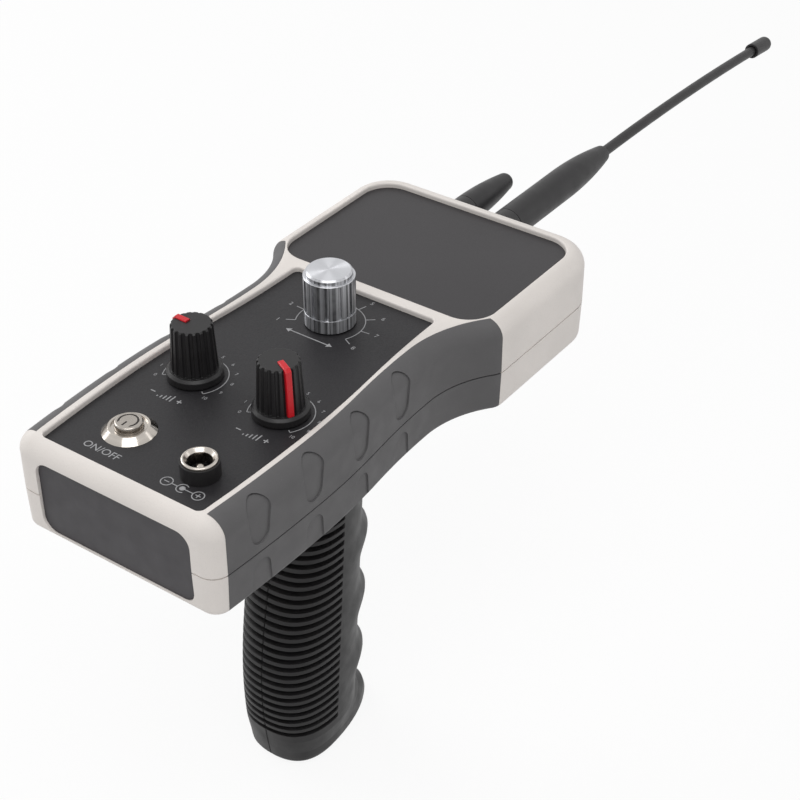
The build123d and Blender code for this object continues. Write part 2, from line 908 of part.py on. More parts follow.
def power_button():
    """Travelling cap that stands its travel above the rim, its stem and the collar that keeps it in."""
    top = bezel_height + button_travel
    low = top - button_height
    collar_top = -web_drop - web_thickness - running_room
    cap = rod(button_r, low, top)
    cap = fillet(cap.faces().sort_by(Axis.Z)[-1].edges(), button_edge_r)
    cap -= slab(power_symbol(), top - button_symbol_depth, top)
    cap += rod(button_stem_r, collar_top - button_collar_height, low)
    return cap + rod(button_collar_r, collar_top - button_collar_height, collar_top)


def power_spring():
    """Coil spring round the stem, between the web and the cap, as one unbroken wire of half-turn arcs."""
    low = -web_drop + spring_wire_r
    high = bezel_height + button_travel - button_height - spring_wire_r
    path = Helix(pitch=(high - low) / spring_turns, height=high - low, radius=spring_mean_r)
    coil = Pos(0, 0, low) * path
    section = Plane(coil @ 0, z_dir=coil % 0) * Circle(spring_wire_r)
    return sweep(section, path=coil)


def power_nut():
    """Nut under the panel plate."""
    under = plate_z - face_z
    return hex_nut(button_nut_flats, barrel_r + thread_room, under - button_nut_height, under)


# Charge jack, panel face at z = 0

def jack_body():
    """Black collar and threaded barrel with the plug's bore."""
    body = rod(jack_collar_r, 0, jack_collar_height) + rod(jack_barrel_r, -jack_barrel_depth, 0)
    top = jack_collar_height + jack_ring_stand
    bore_end = top - jack_bore_depth
    body -= rod(jack_ring_r + fixed_room, top - jack_ring_height, jack_collar_height)
    body -= rod(jack_bore_r + jack_lining_wall + fixed_room, top - jack_lining_depth, jack_collar_height)
    body -= rod(jack_bore_r, bore_end, jack_collar_height)
    return body - rod(jack_pin_root_r + fixed_room, bore_end - jack_pin_root, bore_end)


def jack_ring():
    """Bright ring round the mouth with the tube that lines the bore below it."""
    top = jack_collar_height + jack_ring_stand
    ring = rod(jack_ring_r, top - jack_ring_height, top)
    ring = fillet(ring.faces().sort_by(Axis.Z)[-1].edges(), jack_ring_stand / 2)
    ring += rod(jack_bore_r + jack_lining_wall, top - jack_lining_depth, top - jack_ring_height)
    ring -= rod(jack_bore_r, top - jack_lining_depth, top)
    mouth = ring.edges().filter_by(GeomType.CIRCLE).group_by(Axis.Z)[-1].sort_by(SortBy.RADIUS)[0]
    return chamfer(mouth, jack_mouth_chamfer)


def jack_pin():
    """Centre pin with a rounded tip and a thinner root held in the body."""
    top = jack_collar_height + jack_ring_stand
    bore_end = top - jack_bore_depth
    pin = rod(jack_pin_r, bore_end, top - jack_pin_recess)
    pin = fillet(pin.faces().sort_by(Axis.Z)[-1].edges(), jack_pin_r / 2)
    return pin + rod(jack_pin_root_r, bore_end - jack_pin_root, bore_end)


def jack_nut():
    """Nut under the panel plate."""
    under = plate_z - face_z
    return hex_nut(jack_nut_flats, jack_barrel_r + thread_room, under - jack_nut_height, under)


# Antennas, drawn upright with the front panel's outer face at z = 0

def antenna_socket():
    """Threaded socket with its flange outside and its tail inside the case."""
    inside = end_panel_thickness + socket_nut_height + socket_tail
    socket = rod(socket_r, -inside, socket_flange_thickness + socket_thread_length)
    return socket + rod(socket_flange_r, 0, socket_flange_thickness)


def antenna_nut():
    """Nut behind the front panel."""
    low = -end_panel_thickness - socket_nut_height
    return hex_nut(socket_nut_flats, socket_r + thread_room, low, low + socket_nut_height)


def antenna_collar(radius):
    """Screw collar of an antenna, closed and bevelled at its front end."""
    low = socket_flange_thickness + collar_lift
    thread_end = socket_flange_thickness + socket_thread_length
    collar = rod(radius, low, low + collar_length)
    collar = chamfer(collar.faces().sort_by(Axis.Z)[-1].edges(), collar_edge)
    return collar - rod(socket_r + thread_room, low, thread_end)


def antenna_foot():
    """Height at which the antenna's sleeve starts."""
    return socket_flange_thickness + collar_lift + collar_length


def whip_base():
    """Sleeve of the long antenna, straight and then drawn in to the rod."""
    foot = antenna_foot()
    shoulder = foot + whip_base_straight
    neck = shoulder + whip_base_taper
    curve = TangentArc((whip_base_r, shoulder), (whip_neck_r, neck), tangent=(0, 1))
    sides = Polyline((whip_neck_r, neck), (0, neck), (0, foot), (whip_base_r, foot), (whip_base_r, shoulder))
    base = revolve(Plane.XZ * make_face([curve, sides]), Axis.Z)
    return fillet(base.faces().sort_by(Axis.Z)[-1].edges(), whip_neck_edge_r)


def whip_bend():
    """Centre line of the rod in the case's frame: an arc that droops towards its tip."""
    start = Vector(whip_x, front_panel_y + antenna_foot() + whip_base_straight + whip_base_taper, antenna_z)
    end = start + Vector(0, whip_rod_length, -whip_droop)
    return TangentArc(start, end, tangent=(0, 1, 0))


def whip_rod():
    """Thin rod along the bend."""
    bend = whip_bend()
    return sweep(Plane(bend @ 0, z_dir=bend % 0) * Circle(whip_rod_r), path=bend)


def whip_tip():
    """Round-ended cap on the rod's end, open at its rear."""
    bend = whip_bend()
    front = whip_tip_length - whip_tip_bore_depth
    cap = rod(whip_tip_r, -whip_tip_bore_depth, front - whip_tip_r)
    cap += Pos(0, 0, front - whip_tip_r) * Sphere(whip_tip_r)
    cap -= rod(whip_tip_bore_r, -whip_tip_bore_depth, 0)
    return Plane(bend @ 1, z_dir=bend % 1).location * cap


def stub_sleeve():
    """Short antenna, tapered to a round end."""
    foot = antenna_foot()
    crown = foot + stub_length - stub_end_r
    curve = TangentArc((stub_base_r, foot), (stub_end_r, crown), tangent=(0, 1))
    sides = Polyline((stub_end_r, crown), (0, crown), (0, foot), (stub_base_r, foot))
    return revolve(Plane.XZ * make_face([curve, sides]), Axis.Z) + Pos(0, 0, crown) * Sphere(stub_end_r)


# Swivel

def flange_screw_places():
    """Centres of the swivel flange's screws."""
    places = []
    for index in range(flange_screw_count):
        angle = 2 * math.pi * (index + 0.5) / flange_screw_count
        x = flange_screw_circle_r * math.cos(angle)
        places.append((x, swivel_y + flange_screw_circle_r * math.sin(angle)))
    return places


def swivel_shaft():
    """Flanged shaft that hangs from the case, with the groove of its clip."""
    shaft = rod(flange_r, flange_z, bottom_z, 0, swivel_y) + rod(shaft_r, shaft_end_z, flange_z, 0, swivel_y)
    groove = rod(clip_r, clip_z, clip_z + clip_thickness, 0, swivel_y)
    groove -= rod(shaft_r - clip_groove_depth, clip_z, clip_z + clip_thickness, 0, swivel_y)
    head_seat_z = flange_z + flange_screw_head_height
    shaft -= [rod(case_screw_r + screw_room, head_seat_z, bottom_z, x, y) for x, y in flange_screw_places()]
    head_r = case_screw_head_r + head_room
    shaft -= [rod(head_r, flange_z, head_seat_z, x, y) for x, y in flange_screw_places()]
    return shaft - groove


def flange_screws():
    """Screws that hold the swivel flange to the case's floor."""
    seat = flange_z + flange_screw_head_height
    length = bottom_z + flange_screw_length - seat
    one = screw(case_screw_r, length, case_screw_head_r, flange_screw_head_height)
    return [Pos(x, y, seat) * Rot(X=180) * one for x, y in flange_screw_places()]


def swivel_washer():
    """Washer between the flange and the upper bush."""
    washer = rod(washer_r, washer_z, flange_z, 0, swivel_y)
    return washer - rod(shaft_r + running_room, washer_z, flange_z, 0, swivel_y)


def bush():
    """Flanged bush with the outer face of its flange on z = 0 and its sleeve pointing down."""
    outer = rod(bush_r, -bush_length, 0) + rod(bush_flange_r, -bush_flange_thickness, 0)
    return outer - rod(shaft_r + running_room, -bush_length, 0)


def swivel_bushes():
    """Upper and lower bush in the hand grip."""
    upper = Pos(0, swivel_y, bush_top_z) * bush()
    lower = Pos(0, swivel_y, lower_bush_z) * Rot(X=180) * bush()
    return [upper, lower]


def shaft_clip():
    """Open retaining clip in the shaft's groove."""
    inner_r = shaft_r - clip_groove_depth + fixed_room
    clip = rod(clip_r, 0, clip_thickness) - rod(inner_r, 0, clip_thickness)
    clip -= block((-clip_gap_half_width, clip_gap_half_width), (-clip_r, 0), (0, clip_thickness))
    return Pos(0, swivel_y, clip_z) * clip


# Hand grip

def grip_back(z):
    """Y of the grip's back line: furthest back at the palm, forward again at the web of the thumb."""
    share = (z + grip_palm_drop) / (grip_palm_drop - grip_web_drop)
    return grip_palm_y + (grip_web_y - grip_palm_y) * (1 - math.cos(math.pi * share)) / 2


def grip_widest(z):
    """Y of the line where the grip is widest."""
    return grip_widest_y + grip_widest_lean * (z + grip_widest_drop)


def toe_share(z):
    """Share of the way from just below the lowest finger hollow down to the toe, from 0 to 1."""
    start_drop = grip_front_drop + (finger_count - 0.5) * finger_pitch + toe_lag
    share = min(max((-z - start_drop) / (finger_pitch / 2 - toe_lag), 0), 1)
    return share * share * (3 - 2 * share)


def grip_front(z):
    """Y of the grip's front line: swells between wider finger hollows on a leaning line, then the toe."""
    below = -z - grip_front_drop
    crest = (1 + math.cos(2 * math.pi * below / finger_pitch)) / 2
    swell = finger_wave * (2 * crest ** finger_sharpness - 1)
    return grip_front_y - grip_front_lean * below + swell + toe_flare * toe_share(z)


def quarter(middle, side, fullness):
    """Curve that leaves the seam along X and reaches the grip's side along Y."""
    first = Vector(middle.X + fullness * (side.X - middle.X), middle.Y)
    second = Vector(side.X, side.Y - fullness * (side.Y - middle.Y))
    return Bezier(middle, first, second, side)


def grip_section(z, groove, inset):
    """Level half section of the grip: rear curve, step at a groove's end, fore curve and bevelled seams."""
    y = grip_widest(z)
    width = grip_half_width - foot_taper * toe_share(z) - inset
    back = grip_back(z) + groove + inset
    front = grip_front(z) - inset
    groove_end = Vector(width - groove, y - rib_slope)
    widest = Vector(width, y)
    rear = quarter(Vector(seam_width, back), groove_end, rear_fullness)
    fore = quarter(Vector(seam_width, front), widest, fore_fullness)
    seam = Polyline(fore @ 0, (0, front - seam_depth), (0, back + seam_depth), rear @ 0)
    return Pos(0, 0, z) * make_face([rear, Line(groove_end, widest), fore, seam])


def spaced(high, low):
    """Even levels from high down to just above low."""
    count = math.ceil((high - low) / grip_step)
    return [high + (low - high) * index / count for index in range(count)]


def grip_levels():
    """Height and groove depth of each section from the top down, with four sections at each rib groove."""
    half = rib_groove / 2
    rib_high_z = rib_pitch * (rib_count - 1) + half - rib_low_drop
    rib_low_z = -rib_low_drop - half
    levels = [(z, 0) for z in spaced(grip_top_z, rib_high_z)]
    for index in reversed(range(rib_count)):
        middle = index * rib_pitch - rib_low_drop
        levels.append((middle + half, 0))
        levels.append((middle + half - rib_slope, rib_depth))
        levels.append((middle - half + rib_slope, rib_depth))
        levels.append((middle - half, 0))
    levels += [(z, 0) for z in spaced(rib_low_z, grip_foot_z + grip_foot_edge_r)[1:]]
    return levels


def grip_blank():
    """Full right half of the grip, ribbed at the back and rounded at its foot."""
    sections = [grip_section(z, groove, 0) for z, groove in grip_levels()]
    foot_section_z = grip_foot_z + grip_foot_edge_r
    for index in range(grip_foot_steps + 1):
        angle = math.pi / 2 * index / grip_foot_steps
        section = grip_section(foot_section_z, 0, grip_foot_edge_r * (1 - math.cos(angle)))
        sections.append(Pos(0, 0, -grip_foot_edge_r * math.sin(angle)) * section)
    return loft(sections, ruled=True)


def screw_line(radius, low_x, high_x, y, drop):
    """Cylinder along X at a grip screw."""
    return Pos(low_x, y, -drop) * Rot(Y=90) * rod(radius, 0, high_x - low_x)


def grip_hollow():
    """Room inside the lower part of the grip, left solid round the screws."""
    high = shaft_end_z - grip_wall
    low = grip_foot_z + grip_wall
    back = max(grip_back(high), grip_back(low)) + rib_depth + grip_wall
    front = min(grip_front(z) for z in spaced(high, low)) - grip_wall
    oval = Ellipse(grip_half_width - foot_taper - grip_wall, (front - back) / 2)
    room = slab(Pos(0, (front + back) / 2) * oval, low, high)
    return room - [screw_line(grip_screw_boss_r, -FAR, FAR, y, drop) for y, drop in grip_screw_places]


def swivel_room_cuts():
    """Bores of the grip for the shaft, the bushes and the clip."""
    chamber_top = lower_bush_z + bush_flange_thickness
    seat_r = bush_r + fixed_room
    sleeve = bush_length - bush_flange_thickness
    return [
        rod(shaft_r + 2 * screw_room, chamber_top, grip_top_z, 0, swivel_y),
        rod(seat_r, grip_top_z - sleeve, grip_top_z, 0, swivel_y),
        rod(seat_r, chamber_top, chamber_top + sleeve, 0, swivel_y),
        rod(bush_flange_r + screw_room, shaft_end_z - screw_room, chamber_top, 0, swivel_y),
    ]


def grip_halves():
    """Left and right half, with the holes of the screws that enter from the left."""
    blank = grip_blank()
    rooms = swivel_room_cuts() + [grip_hollow()]
    right = blank - rooms
    left = mirrored(blank) - rooms
    for y, drop in grip_screw_places:
        left -= screw_line(grip_screw_r + screw_room, -grip_screw_seat, 0, y, drop)
        left -= screw_line(grip_screw_head_r + head_room, -FAR, -grip_screw_seat, y, drop)
        right -= screw_line(grip_screw_r + thread_room, 0, grip_screw_reach, y, drop)
    return left, right


def grip_screws():
    """Screws across the grip, their heads sunk in the left half."""
    length = grip_screw_seat + grip_screw_reach
    one = screw(grip_screw_r, length, grip_screw_head_r, grip_screw_head_height)
    return [Pos(-grip_screw_seat, y, -drop) * Rot(Y=-90) * one for y, drop in grip_screw_places]


# All pieces by name

DEPTH = Pos(depth_x, pot_y, face_z)
RANGE = Pos(range_x, pot_y, face_z)
SELECTOR = Pos(selector_x, selector_y, face_z)
POWER = Pos(power_x, power_y, face_z)
JACK = Pos(jack_x, jack_y, face_z)
WHIP = forward(whip_x, front_panel_y, antenna_z)
STUB = forward(stub_x, front_panel_y, antenna_z)
TO_PART_FRAME = Pos(0, -swivel_y, -grip_mid_z)


def build_pieces():
    """Every piece of the detector in the case's frame, as one solid or a list of like solids."""
    upper_grip = upper_side_grip()
    lower_grip = lower_side_grip()
    left_half, right_half = grip_halves()
    pot_shaft = control_shaft(pot_can_r, knob_height - knob_roof)
    selector_shaft = control_shaft(switch_can_r, selector_knob_height - 2 * knob_roof)
    pieces = {
        "top_shell": top_shell(),
        "bottom_shell": bottom_shell(),
        "upper_right_side_grip": upper_grip,
        "upper_left_side_grip": mirrored(upper_grip),
        "lower_right_side_grip": lower_grip,
        "lower_left_side_grip": mirrored(lower_grip),
        "control_overlay": control_overlay(),
        "head_overlay": head_overlay(),
        "rear_end_panel": rear_end_panel(),
        "front_end_panel": front_end_panel(),
        "case_screws": case_screws(),
        "main_board": main_board(),
        "board_components": board_components(),
        "board_screws": board_screws(),
        "battery_holder": battery_holder(),
        "battery_cells": battery_cells(),
        "battery_contacts": battery_contacts(),
        "selector_switch_body": SELECTOR * control_can(switch_can_r, switch_can_height),
        "selector_switch_nut": SELECTOR * control_nut(),
        "selector_shaft": SELECTOR * selector_shaft,
        "selector_knob": SELECTOR * selector_knob(),
        "selector_knob_core": SELECTOR * selector_knob_core(),
        "power_button_bezel": POWER * power_bezel(),
        "power_button_base": POWER * power_base(),
        "power_button_terminals": [POWER * tag for tag in power_terminals()],
        "power_button_nut": POWER * power_nut(),
        "power_button_cap": POWER * power_button(),
        "power_button_spring": POWER * power_spring(),
        "charge_jack_body": JACK * jack_body(),
        "charge_jack_ring": JACK * jack_ring(),
        "charge_jack_pin": JACK * jack_pin(),
        "charge_jack_nut": JACK * jack_nut(),
        "antenna_sockets": [place * antenna_socket() for place in (WHIP, STUB)],
        "antenna_socket_nuts": [place * antenna_nut() for place in (WHIP, STUB)],
        "whip_collar": WHIP * antenna_collar(whip_base_r),
        "whip_base": WHIP * whip_base(),
        "whip_rod": whip_rod(),
        "whip_tip": whip_tip(),
        "stub_collar": STUB * antenna_collar(stub_base_r),
        "stub_sleeve": STUB * stub_sleeve(),
        "swivel_shaft": swivel_shaft(),
        "swivel_flange_screws": flange_screws(),
        "swivel_washer": swivel_washer(),
        "swivel_bushes": swivel_bushes(),
        "shaft_clip": shaft_clip(),
        "grip_left_half": left_half,
        "grip_right_half": right_half,
        "grip_screws": grip_screws(),
    }
    for name, place, angle in (("depth", DEPTH, depth_pointer_angle), ("range", RANGE, range_pointer_angle)):
        pieces[name + "_pot_body"] = place * control_can(pot_can_r, pot_can_height)
        pieces[name + "_pot_nut"] = place * control_nut()
        pieces[name + "_pot_shaft"] = place * pot_shaft
        pieces[name + "_knob"] = place * Rot(Z=angle) * fluted_knob()
        pieces[name + "_pointer"] = place * Rot(Z=angle) * pointer()
    return pieces


os.makedirs("parts", exist_ok=True)
for piece_name, piece in build_pieces().items():
    solids = [part.solid() for part in piece] if isinstance(piece, list) else list(piece.solids())
    placed = [TO_PART_FRAME * solid for solid in solids]
    export_step(placed[0] if len(placed) == 1 else Compound(placed), f"parts/{piece_name}.step")
    print(piece_name, len(placed))
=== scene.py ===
"""A hand-held long range metal detector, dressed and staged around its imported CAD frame."""
import math

import bmesh
import bpy
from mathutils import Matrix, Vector


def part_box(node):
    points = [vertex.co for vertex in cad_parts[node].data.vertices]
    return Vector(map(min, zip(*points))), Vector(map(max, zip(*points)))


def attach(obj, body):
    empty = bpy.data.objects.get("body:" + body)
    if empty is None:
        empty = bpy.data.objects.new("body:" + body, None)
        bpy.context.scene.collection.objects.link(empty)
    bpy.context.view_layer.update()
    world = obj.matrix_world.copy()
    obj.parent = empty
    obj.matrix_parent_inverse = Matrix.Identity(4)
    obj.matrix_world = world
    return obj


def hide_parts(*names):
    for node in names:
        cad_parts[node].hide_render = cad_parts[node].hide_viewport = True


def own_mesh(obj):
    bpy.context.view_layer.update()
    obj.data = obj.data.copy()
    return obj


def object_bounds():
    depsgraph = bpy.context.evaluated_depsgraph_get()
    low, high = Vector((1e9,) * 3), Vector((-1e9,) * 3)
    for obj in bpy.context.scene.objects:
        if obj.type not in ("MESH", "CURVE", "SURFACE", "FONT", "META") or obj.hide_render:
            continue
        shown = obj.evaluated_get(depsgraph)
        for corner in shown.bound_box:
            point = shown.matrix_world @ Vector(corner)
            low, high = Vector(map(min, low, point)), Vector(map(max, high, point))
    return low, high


bl_info = {
    "name": "Long Range Metal Detector",
    "version": (1, 0, 0),
    "blender": (4, 5, 0),
    "location": "View3D > Sidebar > Detector",
    "description": "Finishes, panel print and studio of a hand-held long range metal detector",
    "category": "Add Mesh",
}

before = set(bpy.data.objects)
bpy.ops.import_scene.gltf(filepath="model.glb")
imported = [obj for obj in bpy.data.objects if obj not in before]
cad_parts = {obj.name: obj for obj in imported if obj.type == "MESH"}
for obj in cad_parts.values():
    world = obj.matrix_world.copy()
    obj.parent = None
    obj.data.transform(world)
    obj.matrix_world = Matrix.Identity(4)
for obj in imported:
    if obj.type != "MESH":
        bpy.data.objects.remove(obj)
CAD_BOX = [list(corner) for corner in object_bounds()]
MM = 0.001
FULL_TURN = 2 * math.pi
ARC_STEP = math.radians(3)
PRINT_WELD = 0.005 * MM
CAD_WELD = 0.001 * MM
BEVEL_SAMPLES = 6
SENSOR_WIDTH_MM = 36

# Name, width and length, power in watts, place and aim of each soft lamp, in metres.
LAMPS = (
    ("overhead_light", (0.9, 0.9), 6.6, (0.28, -0.40, 1.10), (0, 0.02, 0.05)),
    ("front_left_light", (0.6, 0.6), 4.2, (-1.05, 0.13, 0.75), (0, 0.02, 0.05)),
    ("left_strip", (0.25, 0.9), 1.6, (-1.05, -0.30, 0.50), (0, 0, 0.05)),
    ("right_strip", (0.25, 0.9), 0.7, (0.80, 0.80, 0.50), (0, 0.02, 0.03)),
)


def linear(red, green, blue):
    """Linear colour of a display colour given in steps from 0 to 255."""
    steps = [step / 255 for step in (red, green, blue)]
    return tuple(s / 12.92 if s < 0.04 else ((s + 0.055) / 1.055) ** 2.4 for s in steps)


def colour(name, description, *steps):
    """Colour property with its default in display steps."""
    return bpy.props.FloatVectorProperty(
        name=name, description=description, subtype="COLOR", size=3, min=0, max=1,
        default=linear(*steps))


def length(name, description, millimetres):
    """Length property with its default in millimetres."""
    return bpy.props.FloatProperty(
        name=name, description=description, unit="LENGTH", min=0, default=millimetres * MM)


def angle(name, description, degrees):
    """Angle property with its default in degrees."""
    return bpy.props.FloatProperty(
        name=name, description=description, subtype="ANGLE", default=math.radians(degrees))


def share(name, description, default):
    """Property for a share from 0 to 1."""
    return bpy.props.FloatProperty(
        name=name, description=description, subtype="FACTOR", min=0, max=1, default=default)


class DetectorColours(bpy.types.PropertyGroup):
    """Colours of the detector's finishes."""

    case: colour("Case", "Pale moulded plastic of both shells", 226, 220, 215)
    side_grip: colour("Side grips", "Soft grips on the case's flanks", 90, 89, 90)
    panel: colour("Control panel", "Textured film under the knobs", 37, 36, 38)
    head: colour("Head panel", "Plain film on the head", 45, 43, 45)
    end_panel: colour("End panels", "Moulded panels at both ends", 63, 61, 64)
    knob: colour("Knobs", "Fluted plastic knobs", 32, 31, 32)
    pointer: colour("Pointers", "Pointer bars on the knobs", 200, 20, 34)
    print_ink: colour("Print", "Ink of dials and marks", 168, 168, 170)
    antenna: colour("Antennas", "Rubber of whip and stub", 38, 37, 38)
    collar: colour("Antenna collars", "Plastic screw collars of the antennas", 46, 45, 46)
    hand_grip: colour("Hand grip", "Ribbed plastic of the hand grip", 25, 24, 25)
    aluminium: colour("Selector knob", "Turned aluminium", 208, 209, 213)
    nickel: colour("Bright metal", "Plated push button and jack ring", 206, 199, 191)
    symbol: colour("Symbol", "Paint in the push button's engraving", 48, 44, 42)
    steel: colour("Steel", "Screws, nuts and shafts", 190, 192, 196)
    brass: colour("Brass", "Antenna sockets and terminals", 205, 172, 98)
    component: colour("Components", "Black plastic inside the case", 40, 40, 42)
    board: colour("Board", "Laminate of the circuit board", 38, 110, 62)
    cell: colour("Cells", "Wrap of the battery cells", 64, 112, 176)
    bearing: colour("Bearings", "Washer and bushes of the swivel", 228, 226, 220)
    dust: colour("Dust", "Pale flecks on dark plastic", 150, 150, 152)
    floor: colour("Floor", "Studio floor", 244, 244, 244)


class DetectorPrint(bpy.types.PropertyGroup):
    """Sizes of the print on the control panel and of the paint in the push button."""

    thickness: length("Thickness", "Thickness of the ink", 0.04)
    line: length("Line", "Width of the dial lines", 0.26)
    pot_radius: length("Knob dial radius", "Radius of the arc round a fluted knob", 8.8)
    pot_start: angle("Knob dial start", "Clockwise end of the arc, from the right", -37)
    pot_sweep: angle("Knob dial sweep", "Angle of the arc", 250)
    pot_tick: length("Knob dial ticks", "Reach of the arc's end ticks inwards", 1.2)
    pot_figures: length("Knob figures", "Radius of the figures round a fluted knob", 10.7)
    pot_figure_height: length("Knob figure size", "Size of a knob's figures", 1.6)
    pot_mark: length("Knob mark", "From a fluted knob back to its level mark", 11.6)
    selector_radius: length("Selector dial radius", "Radius of the arc round the selector", 9.7)
    selector_leads: length("Selector leads", "Outer radius of the selector's leads", 12.4)
    selector_figures: length("Selector figures", "Radius of the selector's figures", 14.6)
    selector_figure_height: length("Selector figure size", "Size of the selector's figures", 2.08)
    selector_first: angle("Selector first", "Angle of the first position, from the right", 210)
    selector_step: angle("Selector step", "Angle between two positions", 34)
    selector_mark: length("Selector mark", "From the selector back to its arrows", 9.7)
    button_mark: length("Button mark", "From the push button back to its mark", 10.2)
    jack_mark: length("Jack mark", "From the charge jack back to its mark", 6.8)
    mark_line: length("Mark line", "Width of the lines of levels and arrows", 0.338)
    level_width: length("Level width", "Width of a level mark", 10.5)
    level_height: length("Level height", "Height of a level mark's tallest bar", 2.6)
    level_sign: length("Level signs", "Size of a level mark's plus and minus", 1.56)
    arrows_width: length("Arrows width", "Width over both arrows", 15.75)
    arrows_height: length("Arrows height", "Width of the circle round an arrow's head", 2.08)
    polarity_width: length("Polarity width", "Width of the polarity mark", 13.125)
    polarity_height: length("Polarity height", "Height of the polarity mark", 3.12)
    on_off_height: length("Button words", "Size of the push button's words", 3.25)
    symbol_radius: length("Symbol radius", "Radius of the push button's ring", 2.5)
    symbol_line: length("Symbol line", "Width of the symbol's lines", 0.51)
    symbol_gap: angle("Symbol gap", "Opening of the push button's ring", 106)
    symbol_stroke: length("Symbol bar", "Length of the bar in the ring's gap", 1.86)
    symbol_inset: length("Symbol inset", "From the ring's line to the middle of the bar", 0.95)
    symbol_floor: length("Symbol floor", "Depth of the engraving", 0.3)
    symbol_depth: length("Symbol paint", "Thickness of the paint in the engraving", 0.24)


class DetectorStage(bpy.types.PropertyGroup):
    """Camera and studio."""

    distance_x: length("Camera X", "Camera to the right of the swivel axis", 250.57)
    distance_y: length("Camera back", "Camera behind the swivel axis", 303.90)
    distance_z: length("Camera height", "Camera above the middle of the grip", 350.56)
    azimuth: angle("Azimuth", "Turn of the camera to the right", 35.56)
    elevation: angle("Elevation", "Camera above the horizon", 35.65)
    lens: bpy.props.FloatProperty(
        name="Lens", description="Focal length on a 36 mm sensor", unit="CAMERA", default=78.84)
    floor_width: length("Floor width", "Width of the studio floor", 40000)
    floor_gap: length("Floor gap", "Floor below the hand grip's foot", 0.2)
    floor_white: share("White floor", "Share of plain white in the floor that the camera sees", 0.9)
    surroundings: share("Surroundings", "Strength of the even light from all sides", 0.42)


def settings():
    """The three groups of settings: colours, print and stage."""
    scene = bpy.context.scene
    return scene.detector_colours, scene.detector_print, scene.detector_stage


class Finish:
    """Node material on one Principled shader, with patterns in Object coordinates."""

    def __init__(self, name, **sockets):
        self.material = bpy.data.materials.new(name)
        self.material.use_nodes = True
        self.nodes = self.material.node_tree.nodes
        self.links = self.material.node_tree.links
        self.shader = self.nodes["Principled BSDF"]
        for socket, value in sockets.items():
            self.shader.inputs[socket.replace("_", " ")].default_value = value
        self.place = self.nodes.new("ShaderNodeTexCoord").outputs["Object"]
        self.normal = None

    def feed(self, socket, value):
        """Links an input to a socket, or sets its value."""
        if isinstance(value, bpy.types.NodeSocket):
            self.links.new(value, socket)
        else:
            socket.default_value = value

    def add(self, kind, options=None, **inputs):
        """New node with its options and inputs; i0 and i1 name its first and second input."""
        node = self.nodes.new(kind)
        for key, value in (options or {}).items():
            setattr(node, key, value)
        for key, value in inputs.items():
            numbered = key[0] == "i" and key[1:].isdigit()
            self.feed(node.inputs[int(key[1:]) if numbered else key], value)
        return node

    def noise(self, size, detail=2.0, roughness=0.5, place=None):
        """Noise whose grains have a size in the units of the place, which are metres by default."""
        place = place or self.place
        node = self.add(
            "ShaderNodeTexNoise", Vector=place, Scale=1 / size, Detail=detail, Roughness=roughness)
        return node.outputs["Fac"]

    def spread(self, source, first, last, start=0.3, end=0.7):
        """A value that goes from first to last as the source goes from start to end."""
        node = self.add("ShaderNodeMapRange", i0=source, i1=start, i2=end, i3=first, i4=last)
        return node.outputs[0]

    def mix(self, factor, first, second):
        """Colour between two colours or sockets."""
        node = self.add("ShaderNodeMix", {"data_type": "RGBA"}, i0=factor)
        for socket, value in ((node.inputs[6], first), (node.inputs[7], second)):
            self.feed(socket, value if isinstance(value, bpy.types.NodeSocket) else (*value, 1))
        return node.outputs[2]

    def maths(self, operation, first, second=0.0):
        """One step of arithmetic."""
        return self.add("ShaderNodeMath", {"operation": operation}, i0=first, i1=second).outputs[0]

    def vector(self, operation, first, second=(0, 0, 0), output="Vector"):
        """One step of vector arithmetic."""
        node = self.add("ShaderNodeVectorMath", {"operation": operation}, i0=first, i1=second)
        return node.outputs[output]

    def true_normal(self):
        """Direction that the surface faces."""
        return self.add("ShaderNodeNewGeometry").outputs["Normal"]

    def rounded_normal(self, radius):
        """Direction that the surface would face if its edges were rounded."""
        return self.add("ShaderNodeBevel", {"samples": BEVEL_SAMPLES}, Radius=radius).outputs[0]

    def edges(self, radius, gain):
        """Mask of the worn edges: where a rounded normal leaves the true one."""
        likeness = self.vector(
            "DOT_PRODUCT", self.rounded_normal(radius), self.true_normal(), output="Value")
        return self.spread(likeness, gain, 0.0, start=0.80, end=0.995)

    def dust(self, spacing):
        """Mask of small scattered flecks, about one in each cell of that size in metres."""
        cells = self.add("ShaderNodeTexVoronoi", Vector=self.place, Scale=1 / spacing)
        return self.spread(cells.outputs["Distance"], 1.0, 0.0, start=0.05, end=0.11)

    def relief(self, height, distance, strength=1.0):
        """Adds a bump of that distance in metres to the surface."""
        node = self.add("ShaderNodeBump", Height=height, Distance=distance, Strength=strength)
        if self.normal is not None:
            self.links.new(self.normal, node.inputs["Normal"])
        self.normal = node.outputs["Normal"]
        self.links.new(self.normal, self.shader.inputs["Normal"])

    def soften(self, radius):
        """Rounds the light on hard edges."""
        self.normal = self.rounded_normal(radius)
        self.links.new(self.normal, self.shader.inputs["Normal"])

    def paint(self, socket):
        """Links the colour."""
        self.links.new(socket, self.shader.inputs["Base Color"])

    def roughness(self, socket):
        """Links the roughness."""
        self.links.new(socket, self.shader.inputs["Roughness"])


def shade(base, factor):
    """A colour made lighter or darker."""
    return tuple(min(1.0, value * factor) for value in base)


